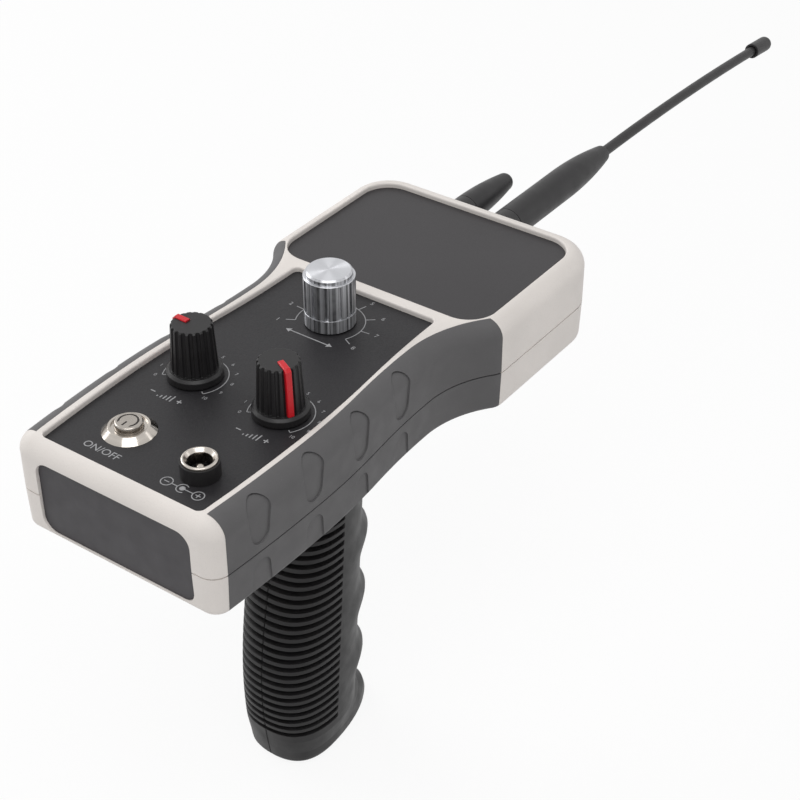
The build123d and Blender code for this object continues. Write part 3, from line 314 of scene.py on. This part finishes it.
def moulded(name, base, rough, grain=0.35, relief=0.03, wear=0.25, gloss=0.35, flecks=0.0):
    """Moulded plastic with a fine grain, faint flow marks, rubbed edges and a few flecks of dust.

    Grain and relief are in millimetres, wear and flecks are shares.
    """
    finish = Finish(name, Specular_IOR_Level=gloss)
    finish.soften(0.25 * MM)
    flow = finish.noise(size=24 * MM, detail=3)
    tone = finish.mix(finish.spread(flow, 0, 1), shade(base, 0.95), shade(base, 1.04))
    speck = finish.noise(size=grain * MM)
    pits = finish.spread(speck, 0, 0.35, start=0.55, end=0.8)
    tone = finish.mix(pits, tone, shade(base, 0.8))
    if flecks:
        dusty = finish.maths("MULTIPLY", finish.dust(spacing=1.3 * MM), flecks)
        tone = finish.mix(dusty, tone, settings()[0].dust)
    rubbed = finish.edges(radius=0.5 * MM, gain=wear)
    finish.paint(finish.mix(rubbed, tone, shade(base, 1.25)))
    handled = finish.noise(size=5 * MM, detail=4)
    finish.roughness(finish.spread(handled, rough - 0.06, rough + 0.07))
    finish.relief(speck, distance=relief * MM, strength=0.6)
    return finish.material


def textured_film(name, base, rough, grain, relief, gloss):
    """Panel film embossed all over with a fine leathery grain, with painted highlights in points
    where the grain catches the light.

    Grain and relief are in millimetres.
    """
    finish = Finish(name, Specular_IOR_Level=gloss)
    finish.soften(0.15 * MM)
    coarse = finish.noise(size=grain * MM, detail=3, roughness=0.6)
    fine = finish.noise(size=grain * MM / 3)
    cloud = finish.noise(size=30 * MM, detail=3)
    tone = finish.mix(finish.spread(cloud, 0, 1), shade(base, 0.94), shade(base, 1.06))
    # Painted highlight: bright points of the grain painted 2.2 times lighter into the colour.
    points = finish.spread(fine, 0, 0.6, start=0.56, end=0.76)
    tone = finish.mix(points, tone, shade(base, 2.2))
    rubbed = finish.edges(radius=0.4 * MM, gain=0.2)
    finish.paint(finish.mix(rubbed, tone, shade(base, 1.6)))
    finish.roughness(finish.spread(coarse, rough - 0.08, rough + 0.1))
    finish.relief(coarse, distance=relief * MM, strength=0.7)
    finish.relief(fine, distance=relief * MM / 3, strength=0.5)
    return finish.material


def turned_metal(name, base, rough, centre, anisotropy, relief, soften=0.12, painted_reflections=0.0):
    """Metal turned on a lathe: fine rings round an upright axis and light drawn out across them.

    Relief and soften are in millimetres; the last argument is the share of painted reflection, dark
    streaks painted down the upright sides in place of reflected dark surroundings.
    """
    finish = Finish(name, Metallic=1.0, Anisotropic=anisotropy)
    finish.soften(soften * MM)
    local = finish.vector("SUBTRACT", finish.place, (*centre, 0))
    x, y, z = finish.add("ShaderNodeSeparateXYZ", i0=local).outputs
    flat = finish.add("ShaderNodeCombineXYZ", X=x, Y=y).outputs[0]
    facing = finish.true_normal()
    along_rings = finish.vector("CROSS_PRODUCT", (0, 0, 1), flat)
    across_rings = finish.vector("CROSS_PRODUCT", facing, along_rings)
    finish.links.new(across_rings, finish.shader.inputs["Tangent"])
    pitch = 0.1 * MM
    reach = finish.maths("ADD", finish.vector("LENGTH", flat, output="Value"), z)
    noise = finish.add(
        "ShaderNodeTexNoise", {"noise_dimensions": "1D"}, W=reach, Scale=1 / pitch, Detail=3.0)
    rings = noise.outputs["Fac"]
    tone = finish.mix(finish.spread(rings, 0, 1), shade(base, 0.88), shade(base, 1.04))
    # Painted reflection: dark streaks painted into the colour of the upright sides, standing in for
    # dark surroundings mirrored in them.
    outward = finish.vector("NORMALIZE", flat)
    painted_reflection_bands = finish.noise(size=0.16, detail=3, roughness=0.6, place=outward)
    painted_reflection_bands = finish.spread(painted_reflection_bands, painted_reflections, 0.0, start=0.42, end=0.62)
    level = finish.maths("ABSOLUTE", finish.add("ShaderNodeSeparateXYZ", i0=facing).outputs[2])
    upright = finish.maths("SUBTRACT", 1.0, level)
    tone = finish.mix(finish.maths("MULTIPLY", painted_reflection_bands, upright), tone, shade(base, 0.06))
    smudge = finish.noise(size=3 * MM, detail=4)
    finish.paint(finish.mix(finish.spread(smudge, 0, 0.25), tone, shade(base, 0.8)))
    finish.roughness(finish.spread(rings, rough - 0.04, rough + 0.06))
    finish.relief(rings, distance=relief * MM, strength=0.5)
    return finish.material


def plated(name, base, rough):
    """Bright plating with faint polishing marks and smudges."""
    finish = Finish(name, Metallic=1.0)
    finish.soften(0.15 * MM)
    smudge = finish.noise(size=4 * MM, detail=4)
    polish = finish.noise(size=0.3 * MM)
    finish.paint(finish.mix(finish.spread(smudge, 0, 1), shade(base, 0.92), shade(base, 1.04)))
    finish.roughness(finish.spread(smudge, rough - 0.03, rough + 0.07))
    finish.relief(polish, distance=0.003 * MM, strength=0.4)
    return finish.material


def ink(name, base):
    """Screen print with slightly uneven cover."""
    finish = Finish(name, Specular_IOR_Level=0.25)
    cover = finish.noise(size=0.5 * MM, detail=3)
    finish.paint(finish.mix(finish.spread(cover, 0, 1), shade(base, 0.7), base))
    finish.roughness(finish.spread(cover, 0.5, 0.65))
    finish.relief(cover, distance=0.01 * MM, strength=0.5)
    return finish.material


def dress(material, *nodes):
    """Gives CAD nodes a finish."""
    for node in nodes:
        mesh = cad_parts[node].data
        mesh.materials.clear()
        mesh.materials.append(material)


class Modelling:
    """Base of the operators that share the detector's sidebar."""

    bl_options = {"REGISTER", "UNDO"}


def deselect():
    """Leaves nothing selected and no mesh in edit mode."""
    if bpy.context.mode != "OBJECT":
        bpy.ops.object.mode_set(mode="OBJECT")
    bpy.ops.object.select_all(action="DESELECT")


def node_centre(node):
    """Middle of a node seen from above."""
    low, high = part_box(node)
    return Vector(((low.x + high.x) / 2, (low.y + high.y) / 2))


def flat_bar(centre, size, turn=0.0):
    """Flat rectangle of print; centre and size in metres, turned about Z."""
    deselect()
    bpy.ops.mesh.primitive_plane_add(
        size=1, location=(centre[0], centre[1], 0), rotation=(0, 0, turn))
    bar = bpy.context.object
    bar.scale = (size[0], size[1], 1)
    bpy.ops.object.transform_apply(location=True, rotation=True, scale=True)
    return bar


def flat_arc(centre, radius, line, start, sweep):
    """Flat ring segment of print, spun from one short line."""
    bar = flat_bar((centre[0] + radius, centre[1]), (line, line))
    middle = (centre[0], centre[1], 0)
    bpy.ops.object.mode_set(mode="EDIT")
    bpy.ops.mesh.select_mode(type="VERT")
    mesh = bmesh.from_edit_mesh(bar.data)
    for vertex in mesh.verts:
        vertex.select_set(vertex.co.y > centre[1])
    bmesh.update_edit_mesh(bar.data)
    bpy.ops.mesh.delete(type="VERT")
    mesh = bmesh.from_edit_mesh(bar.data)
    for vertex in mesh.verts:
        vertex.co.y = centre[1]
        vertex.select_set(True)
    mesh.select_flush(True)
    bmesh.update_edit_mesh(bar.data)
    bpy.ops.transform.rotate(value=-start, orient_axis="Z", center_override=middle)
    steps = max(4, round(sweep / ARC_STEP))
    bpy.ops.mesh.spin(steps=steps, angle=-sweep, center=middle, axis=(0, 0, 1))
    bpy.ops.object.mode_set(mode="OBJECT")
    return bar


def figure(text, centre, height):
    """Flat figures of print, centred on a point."""
    deselect()
    bpy.ops.object.text_add(location=(centre[0], centre[1], 0))
    words = bpy.context.object
    words.data.body = text
    words.data.size = height
    words.data.align_x = "CENTER"
    words.data.align_y = "CENTER"
    words.data.resolution_u = 4
    bpy.ops.object.convert(target="MESH")
    bpy.ops.object.transform_apply(location=True, rotation=True, scale=True)
    return bpy.context.object


def solid_piece(name, parts, thickness, floor, material, body):
    """Joins flat pieces, gives them a thickness over a floor and lets them ride on a body."""
    deselect()
    for part in parts:
        part.select_set(True)
    bpy.context.view_layer.objects.active = parts[0]
    bpy.ops.object.join()
    piece = bpy.context.object
    piece.name = name
    bpy.ops.object.mode_set(mode="EDIT")
    bpy.ops.mesh.select_all(action="SELECT")
    bpy.ops.mesh.remove_doubles(threshold=PRINT_WELD)
    bpy.ops.mesh.normals_make_consistent(inside=False)
    bpy.ops.mesh.extrude_region_move(TRANSFORM_OT_translate={"value": (0, 0, thickness)})
    bpy.ops.mesh.select_all(action="SELECT")
    bpy.ops.mesh.normals_make_consistent(inside=False)
    bpy.ops.transform.translate(value=(0, 0, floor))
    bpy.ops.object.mode_set(mode="OBJECT")
    piece.data.materials.clear()
    piece.data.materials.append(material)
    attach(piece, body)
    return piece


def print_ink():
    """The one ink of the panel, made when it is first asked for."""
    material = bpy.data.materials.get("panel_ink")
    return material or ink("panel_ink", settings()[0].print_ink)


def print_piece(name, parts, thickness):
    """Lays flat pieces on the control panel as one print, a quarter of the ink sunk in the film."""
    panel_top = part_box("control_overlay")[1].z
    floor = panel_top - thickness / 4
    return solid_piece(name, parts, thickness, floor, print_ink(), "case")


def at_angle(centre, radius, turn):
    """Point at a radius and angle from a centre."""
    return (centre[0] + radius * math.cos(turn), centre[1] + radius * math.sin(turn))


def beside(centre, x, y=0.0):
    """Point beside a centre."""
    return (centre[0] + x, centre[1] + y)


def tick(centre, inner, outer, line, turn):
    """Short radial line of print from one radius to another."""
    return flat_bar(at_angle(centre, (inner + outer) / 2, turn), (outer - inner, line), turn)


def minus_sign(centre, size, line):
    """Minus sign, as a list of flat pieces."""
    return [flat_bar(centre, (size, line))]


def plus_sign(centre, size, line):
    """Plus sign of one bar and two half bars."""
    arm = (size - line) / 2
    halves = [flat_bar(beside(centre, 0, side * (line + arm) / 2), (line, arm)) for side in (-1, 1)]
    return minus_sign(centre, size, line) + halves


def triangle(centre, radius, turn):
    """Flat triangle with one corner at the angle turn."""
    deselect()
    bpy.ops.mesh.primitive_circle_add(
        vertices=3, radius=radius, fill_type="NGON", location=(centre[0], centre[1], 0),
        rotation=(0, 0, turn - math.pi / 2))
    bpy.ops.object.transform_apply(location=True, rotation=True, scale=True)
    return bpy.context.object


def rising_bars(centre, width, height, line):
    """Five upright bars on one foot line, each taller than the one on its left."""
    count = 5
    bars = []
    for index in range(count):
        tall = height * (index + 1) / count
        x = width * (index / (count - 1) - 0.5)
        bars.append(flat_bar(beside(centre, x, (tall - height) / 2), (line, tall)))
    return bars


def level_mark(centre, width, height, sign, line):
    """Minus sign, rising bars and plus sign, each a sign's width from the next."""
    end = (width - sign) / 2
    parts = minus_sign(beside(centre, -end), sign, line)
    parts += plus_sign(beside(centre, end), sign, line)
    return parts + rising_bars(centre, width - 4 * sign, height, line)


def polarity_mark(centre, width, height, line):
    """Ringed minus and plus joined to the sleeve and the pin of a round jack."""
    ring = height / 2
    pin = ring / 2
    end = width / 2 - ring
    left, right = beside(centre, -end), beside(centre, end)
    parts = [flat_arc(spot, ring, line, 0, FULL_TURN) for spot in (left, right)]
    parts += minus_sign(left, ring, line) + plus_sign(right, ring, line)
    opening = math.radians(100)
    parts.append(flat_arc(centre, ring, line, opening / 2, FULL_TURN - opening))
    parts.append(flat_arc(centre, pin / 2, pin, 0, FULL_TURN))
    inner = ring + line / 2
    parts.append(tick(centre, inner, end - inner, line, math.pi))
    parts.append(tick(centre, pin, end - inner, line, 0))
    return parts


def arrows_mark(centre, width, height, line):
    """Arrow to the left and to the right on one line."""
    radius = height / 2
    reach = width / 2 - radius
    heads = [triangle(beside(centre, side * reach), radius, turn)
             for side, turn in ((-1, math.pi), (1, 0))]
    return heads + [flat_bar(centre, (2 * reach - radius, line))]


class DETECTOR_OT_case(Modelling, bpy.types.Operator):
    """Finish the pale case shells, the soft side grips and the end panels"""

    bl_idname = "detector.case"
    bl_label = "Case"

    def execute(self, context):
        colours = context.scene.detector_colours
        pale = moulded("pale_case_plastic", colours.case, rough=0.5, wear=0.15, gloss=0.4)
        dress(pale, "top_shell", "bottom_shell")
        soft = moulded("soft_side_grip", colours.side_grip, rough=0.58, grain=0.25, relief=0.02,
                       wear=0.15, flecks=0.1)
        dress(soft, "upper_right_side_grip", "upper_left_side_grip",
              "lower_right_side_grip", "lower_left_side_grip")
        dark = moulded("end_panel_plastic", colours.end_panel, rough=0.5, grain=0.3)
        dress(dark, "rear_end_panel", "front_end_panel")
        return {"FINISHED"}


class DETECTOR_OT_overlays(Modelling, bpy.types.Operator):
    """Finish the textured control panel and the plain head panel"""

    bl_idname = "detector.overlays"
    bl_label = "Panel films"

    def execute(self, context):
        colours = context.scene.detector_colours
        control = textured_film("control_panel_film", colours.panel, rough=0.44, grain=0.5,
                                relief=0.05, gloss=0.26)
        dress(control, "control_overlay")
        head = textured_film("head_panel_film", colours.head, rough=0.4, grain=0.3,
                             relief=0.008, gloss=0.36)
        dress(head, "head_overlay")
        return {"FINISHED"}


class DETECTOR_OT_knobs(Modelling, bpy.types.Operator):
    """Finish the two fluted knobs with their pointers and the turned selector knob"""

    bl_idname = "detector.knobs"
    bl_label = "Knobs"

    def execute(self, context):
        colours = context.scene.detector_colours
        black = moulded("knob_plastic", colours.knob, rough=0.4, grain=0.3, relief=0.015,
                        gloss=0.3, flecks=0.08)
        dress(black, "depth_knob", "range_knob")
        red = moulded("pointer_plastic", colours.pointer, rough=0.32, grain=0.4, relief=0.006,
                      wear=0.1, gloss=0.4)
        dress(red, "depth_pointer", "range_pointer")
        # The selector's upright sides get dark painted reflection streaks at a share of 0.9.
        spun = turned_metal("spun_aluminium", colours.aluminium, rough=0.33,
                            centre=node_centre("selector_knob"), anisotropy=0.9, relief=0.002,
                            soften=0.2, painted_reflections=0.9)
        dress(spun, "selector_knob")
        return {"FINISHED"}


class DETECTOR_OT_button(Modelling, bpy.types.Operator):
    """Finish the metal push button and the charge jack"""

    bl_idname = "detector.button"
    bl_label = "Push button and jack"

    def execute(self, context):
        colours = context.scene.detector_colours
        turned = {"centre": node_centre("power_button_bezel"), "anisotropy": 0.2, "relief": 0.0006}
        bezel = turned_metal("bezel_metal", shade(colours.nickel, 0.85), rough=0.14, **turned)
        dress(bezel, "power_button_bezel")
        cap = turned_metal("button_metal", shade(colours.nickel, 0.66), rough=0.26, **turned)
        dress(cap, "power_button_cap")
        plating = plated("jack_plating", shade(colours.nickel, 0.82), rough=0.22)
        dress(plating, "charge_jack_ring", "charge_jack_pin")
        dress(moulded("jack_plastic", colours.knob, rough=0.42, gloss=0.3), "charge_jack_body")
        return {"FINISHED"}


class DETECTOR_OT_symbol(Modelling, bpy.types.Operator):
    """Fill the push button's engraved ring and bar with dark paint"""

    bl_idname = "detector.symbol"
    bl_label = "Push button symbol"

    def execute(self, context):
        sizes = context.scene.detector_print
        centre = node_centre("power_button_cap")
        line, gap = sizes.symbol_line, sizes.symbol_gap
        back = -math.pi / 2
        ring = flat_arc(centre, sizes.symbol_radius, line, back + gap / 2, FULL_TURN - gap)
        spot = at_angle(centre, sizes.symbol_radius - sizes.symbol_inset, back)
        bar = flat_bar(spot, (line, sizes.symbol_stroke))
        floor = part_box("power_button_cap")[1].z - sizes.symbol_floor
        paint = ink("symbol_paint", context.scene.detector_colours.symbol)
        solid_piece("power_symbol_paint", [ring, bar], sizes.symbol_depth, floor, paint,
                    "power_cap")
        return {"FINISHED"}


class DETECTOR_OT_antennas(Modelling, bpy.types.Operator):
    """Finish the whip and the stub antenna"""

    bl_idname = "detector.antennas"
    bl_label = "Antennas"

    def execute(self, context):
        colours = context.scene.detector_colours
        rubber = moulded("antenna_rubber", colours.antenna, rough=0.44, grain=0.2, relief=0.008,
                         wear=0.1, flecks=0.08)
        dress(rubber, "whip_base", "whip_rod", "whip_tip", "stub_sleeve")
        plastic = moulded("collar_plastic", colours.collar, rough=0.4, grain=0.25)
        dress(plastic, "whip_collar", "stub_collar")
        return {"FINISHED"}


class DETECTOR_OT_hand_grip(Modelling, bpy.types.Operator):
    """Finish the ribbed hand grip"""

    bl_idname = "detector.hand_grip"
    bl_label = "Hand grip"

    def execute(self, context):
        colours = context.scene.detector_colours
        plastic = moulded("hand_grip_plastic", colours.hand_grip, rough=0.46, grain=0.3,
                          relief=0.02, gloss=0.34, flecks=0.08)
        dress(plastic, "grip_left_half", "grip_right_half")
        return {"FINISHED"}


class DETECTOR_OT_inside(Modelling, bpy.types.Operator):
    """Finish the screws, the swivel and the pieces inside the case"""

    bl_idname = "detector.inside"
    bl_label = "Inside and fasteners"

    def execute(self, context):
        colours = context.scene.detector_colours
        steel = plated("zinc_steel", colours.steel, rough=0.3)
        dress(steel, "case_screws", "board_screws", "selector_switch_nut", "selector_shaft",
              "power_button_nut", "power_button_spring", "charge_jack_nut", "antenna_socket_nuts",
              "swivel_shaft", "swivel_flange_screws", "shaft_clip", "grip_screws",
              "depth_pot_body", "depth_pot_nut", "depth_pot_shaft",
              "range_pot_body", "range_pot_nut", "range_pot_shaft", "battery_contacts")
        brass = plated("plain_brass", colours.brass, rough=0.28)
        dress(brass, "antenna_sockets", "power_button_terminals")
        black = moulded("component_plastic", colours.component, rough=0.5)
        dress(black, "board_components", "battery_holder", "selector_switch_body",
              "selector_knob_core", "power_button_base")
        dress(moulded("board_laminate", colours.board, rough=0.35), "main_board")
        dress(moulded("cell_wrap", colours.cell, rough=0.25, relief=0.004), "battery_cells")
        white = moulded("bearing_plastic", colours.bearing, rough=0.45)
        dress(white, "swivel_washer", "swivel_bushes")
        return {"FINISHED"}


class DETECTOR_OT_spring(Modelling, bpy.types.Operator):
    """Put a welded, smooth-shaded copy of the push button's spring, riding on the case, in place of
    its stiff CAD spring
    """

    bl_idname = "detector.spring"
    bl_label = "Push button spring"

    def execute(self, context):
        node = "power_button_spring"
        deselect()
        bpy.ops.object.add(type="MESH", location=(0, 0, 0))
        coil = context.object
        coil.name = "squeezed_button_spring"
        coil.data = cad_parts[node].data.copy()
        bpy.ops.object.mode_set(mode="EDIT")
        bpy.ops.mesh.select_all(action="SELECT")
        bpy.ops.mesh.remove_doubles(threshold=CAD_WELD)
        bpy.ops.mesh.normals_make_consistent(inside=False)
        bpy.ops.object.mode_set(mode="OBJECT")
        bpy.ops.object.shade_smooth()
        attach(coil, "case")
        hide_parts(node)
        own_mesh(coil)
        return {"FINISHED"}


class DETECTOR_OT_knob_dials(Modelling, bpy.types.Operator):
    """Print the numbered arcs round the two fluted knobs"""

    bl_idname = "detector.knob_dials"
    bl_label = "Knob dials"

    def execute(self, context):
        sizes = context.scene.detector_print
        start, sweep, line = sizes.pot_start, sizes.pot_sweep, sizes.line
        highest = 10
        for name in ("depth", "range"):
            centre = node_centre(name + "_pot_shaft")
            parts = [flat_arc(centre, sizes.pot_radius, line, start, sweep)]
            for index in range(highest + 1):
                spot = at_angle(centre, sizes.pot_figures, start + sweep * index / highest)
                parts.append(figure(str(highest - index), spot, sizes.pot_figure_height))
            rim = sizes.pot_radius + line / 2
            for turn in (start, start + sweep):
                parts.append(tick(centre, rim - sizes.pot_tick, rim - line, line, turn))
            print_piece(name + "_dial_print", parts, sizes.thickness)
        return {"FINISHED"}


class DETECTOR_OT_selector_dial(Modelling, bpy.types.Operator):
    """Print the selector's arc with a lead and a figure at each position"""

    bl_idname = "detector.selector_dial"
    bl_label = "Selector dial"

    def execute(self, context):
        sizes = context.scene.detector_print
        centre = node_centre("selector_knob")
        first, line = sizes.selector_first, sizes.line
        positions = 8
        sweep = sizes.selector_step * (positions - 1)
        parts = [flat_arc(centre, sizes.selector_radius, line, first - sweep, sweep)]
        rim = sizes.selector_radius + line / 2
        for index in range(positions):
            turn = first - index * sizes.selector_step
            parts.append(tick(centre, rim, sizes.selector_leads, line, turn))
            spot = at_angle(centre, sizes.selector_figures, turn)
            parts.append(figure(str(index + 1), spot, sizes.selector_figure_height))
        print_piece("selector_dial_print", parts, sizes.thickness)
        return {"FINISHED"}


class DETECTOR_OT_marks(Modelling, bpy.types.Operator):
    """Print a plain mark behind each control: levels, arrows, on and off, polarity of the jack"""

    bl_idname = "detector.marks"
    bl_label = "Control marks"

    def execute(self, context):
        sizes = context.scene.detector_print
        line = sizes.mark_line
        for name in ("depth", "range"):
            spot = beside(node_centre(name + "_pot_shaft"), 0, -sizes.pot_mark)
            parts = level_mark(spot, sizes.level_width, sizes.level_height, sizes.level_sign, line)
            print_piece(name + "_level_print", parts, sizes.thickness)
        spot = beside(node_centre("selector_knob"), 0, -sizes.selector_mark)
        parts = arrows_mark(spot, sizes.arrows_width, sizes.arrows_height, line)
        print_piece("selector_arrows_print", parts, sizes.thickness)
        spot = beside(node_centre("charge_jack_ring"), 0, -sizes.jack_mark)
        parts = polarity_mark(spot, sizes.polarity_width, sizes.polarity_height, sizes.line)
        print_piece("jack_polarity_print", parts, sizes.thickness)
        spot = beside(node_centre("power_button_bezel"), 0, -sizes.button_mark)
        print_piece("on_off_print", [figure("ON/OFF", spot, sizes.on_off_height)], sizes.thickness)
        return {"FINISHED"}


def seen_directly(nodes, links):
    """Socket that is 1 for what the camera sees, also in reflections and through clear things."""
    path = nodes.new("ShaderNodeLightPath")
    seen = path.outputs["Is Camera Ray"]
    for ray in ("Is Glossy Ray", "Is Transmission Ray"):
        either = nodes.new("ShaderNodeMath")
        either.operation = "MAXIMUM"
        links.new(seen, either.inputs[0])
        links.new(path.outputs[ray], either.inputs[1])
        seen = either.outputs[0]
    return seen


def floor_finish(base, white):
    """Floor that keeps a shadow and looks nearly white to the camera and in reflections."""
    material = bpy.data.materials.new("studio_floor")
    material.use_nodes = True
    nodes, links = material.node_tree.nodes, material.node_tree.links
    shader = nodes["Principled BSDF"]
    shader.inputs["Base Color"].default_value = (*base, 1)
    shader.inputs["Roughness"].default_value = 0.8
    shader.inputs["Specular IOR Level"].default_value = 0.1
    glow = nodes.new("ShaderNodeEmission")
    glow.inputs["Color"].default_value = (1, 1, 1, 1)
    part = nodes.new("ShaderNodeMath")
    part.operation = "MULTIPLY"
    part.inputs[1].default_value = white
    links.new(seen_directly(nodes, links), part.inputs[0])
    blend = nodes.new("ShaderNodeMixShader")
    links.new(part.outputs[0], blend.inputs[0])
    links.new(shader.outputs[0], blend.inputs[1])
    links.new(glow.outputs[0], blend.inputs[2])
    links.new(blend.outputs[0], nodes["Material Output"].inputs["Surface"])
    return material


def studio_world(strength):
    """Even pale surroundings, white to the camera and in reflections."""
    world = bpy.data.worlds.new("studio")
    world.use_nodes = True
    nodes, links = world.node_tree.nodes, world.node_tree.links
    sky = nodes["Background"]
    sky.inputs["Color"].default_value = (1, 1, 1, 1)
    sky.inputs["Strength"].default_value = strength
    white = nodes.new("ShaderNodeBackground")
    white.inputs["Color"].default_value = (1, 1, 1, 1)
    blend = nodes.new("ShaderNodeMixShader")
    links.new(seen_directly(nodes, links), blend.inputs[0])
    links.new(sky.outputs[0], blend.inputs[1])
    links.new(white.outputs[0], blend.inputs[2])
    links.new(blend.outputs[0], nodes["World Output"].inputs["Surface"])
    return world


class DETECTOR_OT_stage(Modelling, bpy.types.Operator):
    """Set up the pale floor, the soft lights and the camera"""

    bl_idname = "detector.stage"
    bl_label = "Studio"

    def execute(self, context):
        colours, _, stage = settings()
        deselect()
        ground = CAD_BOX[0][2] - stage.floor_gap
        bpy.ops.mesh.primitive_plane_add(size=stage.floor_width, location=(0, 0, ground))
        floor = context.object
        floor.name = "studio_floor"
        floor.data.materials.append(floor_finish(colours.floor, stage.floor_white))
        for name, size, power, place, aim in LAMPS:
            deselect()
            bpy.ops.object.light_add(type="AREA", location=place)
            lamp = context.object
            lamp.name = name
            lamp.data.shape = "RECTANGLE"
            lamp.data.size, lamp.data.size_y = size
            lamp.data.energy = power
            lamp.rotation_euler = (Vector(aim) - Vector(place)).to_track_quat("-Z", "Y").to_euler()
        deselect()
        bpy.ops.object.camera_add(
            location=(stage.distance_x, -stage.distance_y, stage.distance_z),
            rotation=(math.pi / 2 - stage.elevation, 0, stage.azimuth))
        camera = context.object
        camera.name = "photo_camera"
        camera.data.lens = stage.lens
        camera.data.sensor_width = SENSOR_WIDTH_MM
        camera.data.clip_start = 0.01
        camera.data.clip_end = 100
        context.scene.camera = camera
        context.scene.world = studio_world(stage.surroundings)
        context.scene.view_settings.view_transform = "Standard"
        return {"FINISHED"}


OPERATORS = (
    DETECTOR_OT_case,
    DETECTOR_OT_overlays,
    DETECTOR_OT_knobs,
    DETECTOR_OT_button,
    DETECTOR_OT_symbol,
    DETECTOR_OT_antennas,
    DETECTOR_OT_hand_grip,
    DETECTOR_OT_inside,
    DETECTOR_OT_spring,
    DETECTOR_OT_knob_dials,
    DETECTOR_OT_selector_dial,
    DETECTOR_OT_marks,
    DETECTOR_OT_stage,
)
GROUPS = (DetectorColours, DetectorPrint, DetectorStage)


class DETECTOR_PT_sidebar(bpy.types.Panel):
    """Detector pieces in the sidebar"""

    bl_label = "Metal Detector"
    bl_idname = "DETECTOR_PT_sidebar"
    bl_space_type = "VIEW_3D"
    bl_region_type = "UI"
    bl_category = "Detector"

    def draw(self, context):
        for operator in OPERATORS:
            self.layout.operator(operator.bl_idname)
        for group in settings():
            box = self.layout.box()
            for prop in group.bl_rna.properties:
                if not prop.is_readonly and prop.identifier != "name":
                    box.prop(group, prop.identifier)


def register():
    """Registers the groups, operators and panel."""
    for kind in (*GROUPS, *OPERATORS, DETECTOR_PT_sidebar):
        bpy.utils.register_class(kind)
    bpy.types.Scene.detector_colours = bpy.props.PointerProperty(type=DetectorColours)
    bpy.types.Scene.detector_print = bpy.props.PointerProperty(type=DetectorPrint)
    bpy.types.Scene.detector_stage = bpy.props.PointerProperty(type=DetectorStage)


def unregister():
    """Removes what register added."""
    del bpy.types.Scene.detector_stage
    del bpy.types.Scene.detector_print
    del bpy.types.Scene.detector_colours
    for kind in (DETECTOR_PT_sidebar, *reversed(OPERATORS), *reversed(GROUPS)):
        bpy.utils.unregister_class(kind)


def main():
    register()
    for operator in OPERATORS:
        _, action = operator.bl_idname.split(".")
        getattr(bpy.ops.detector, action)()


if __name__ == "__main__":
    main()
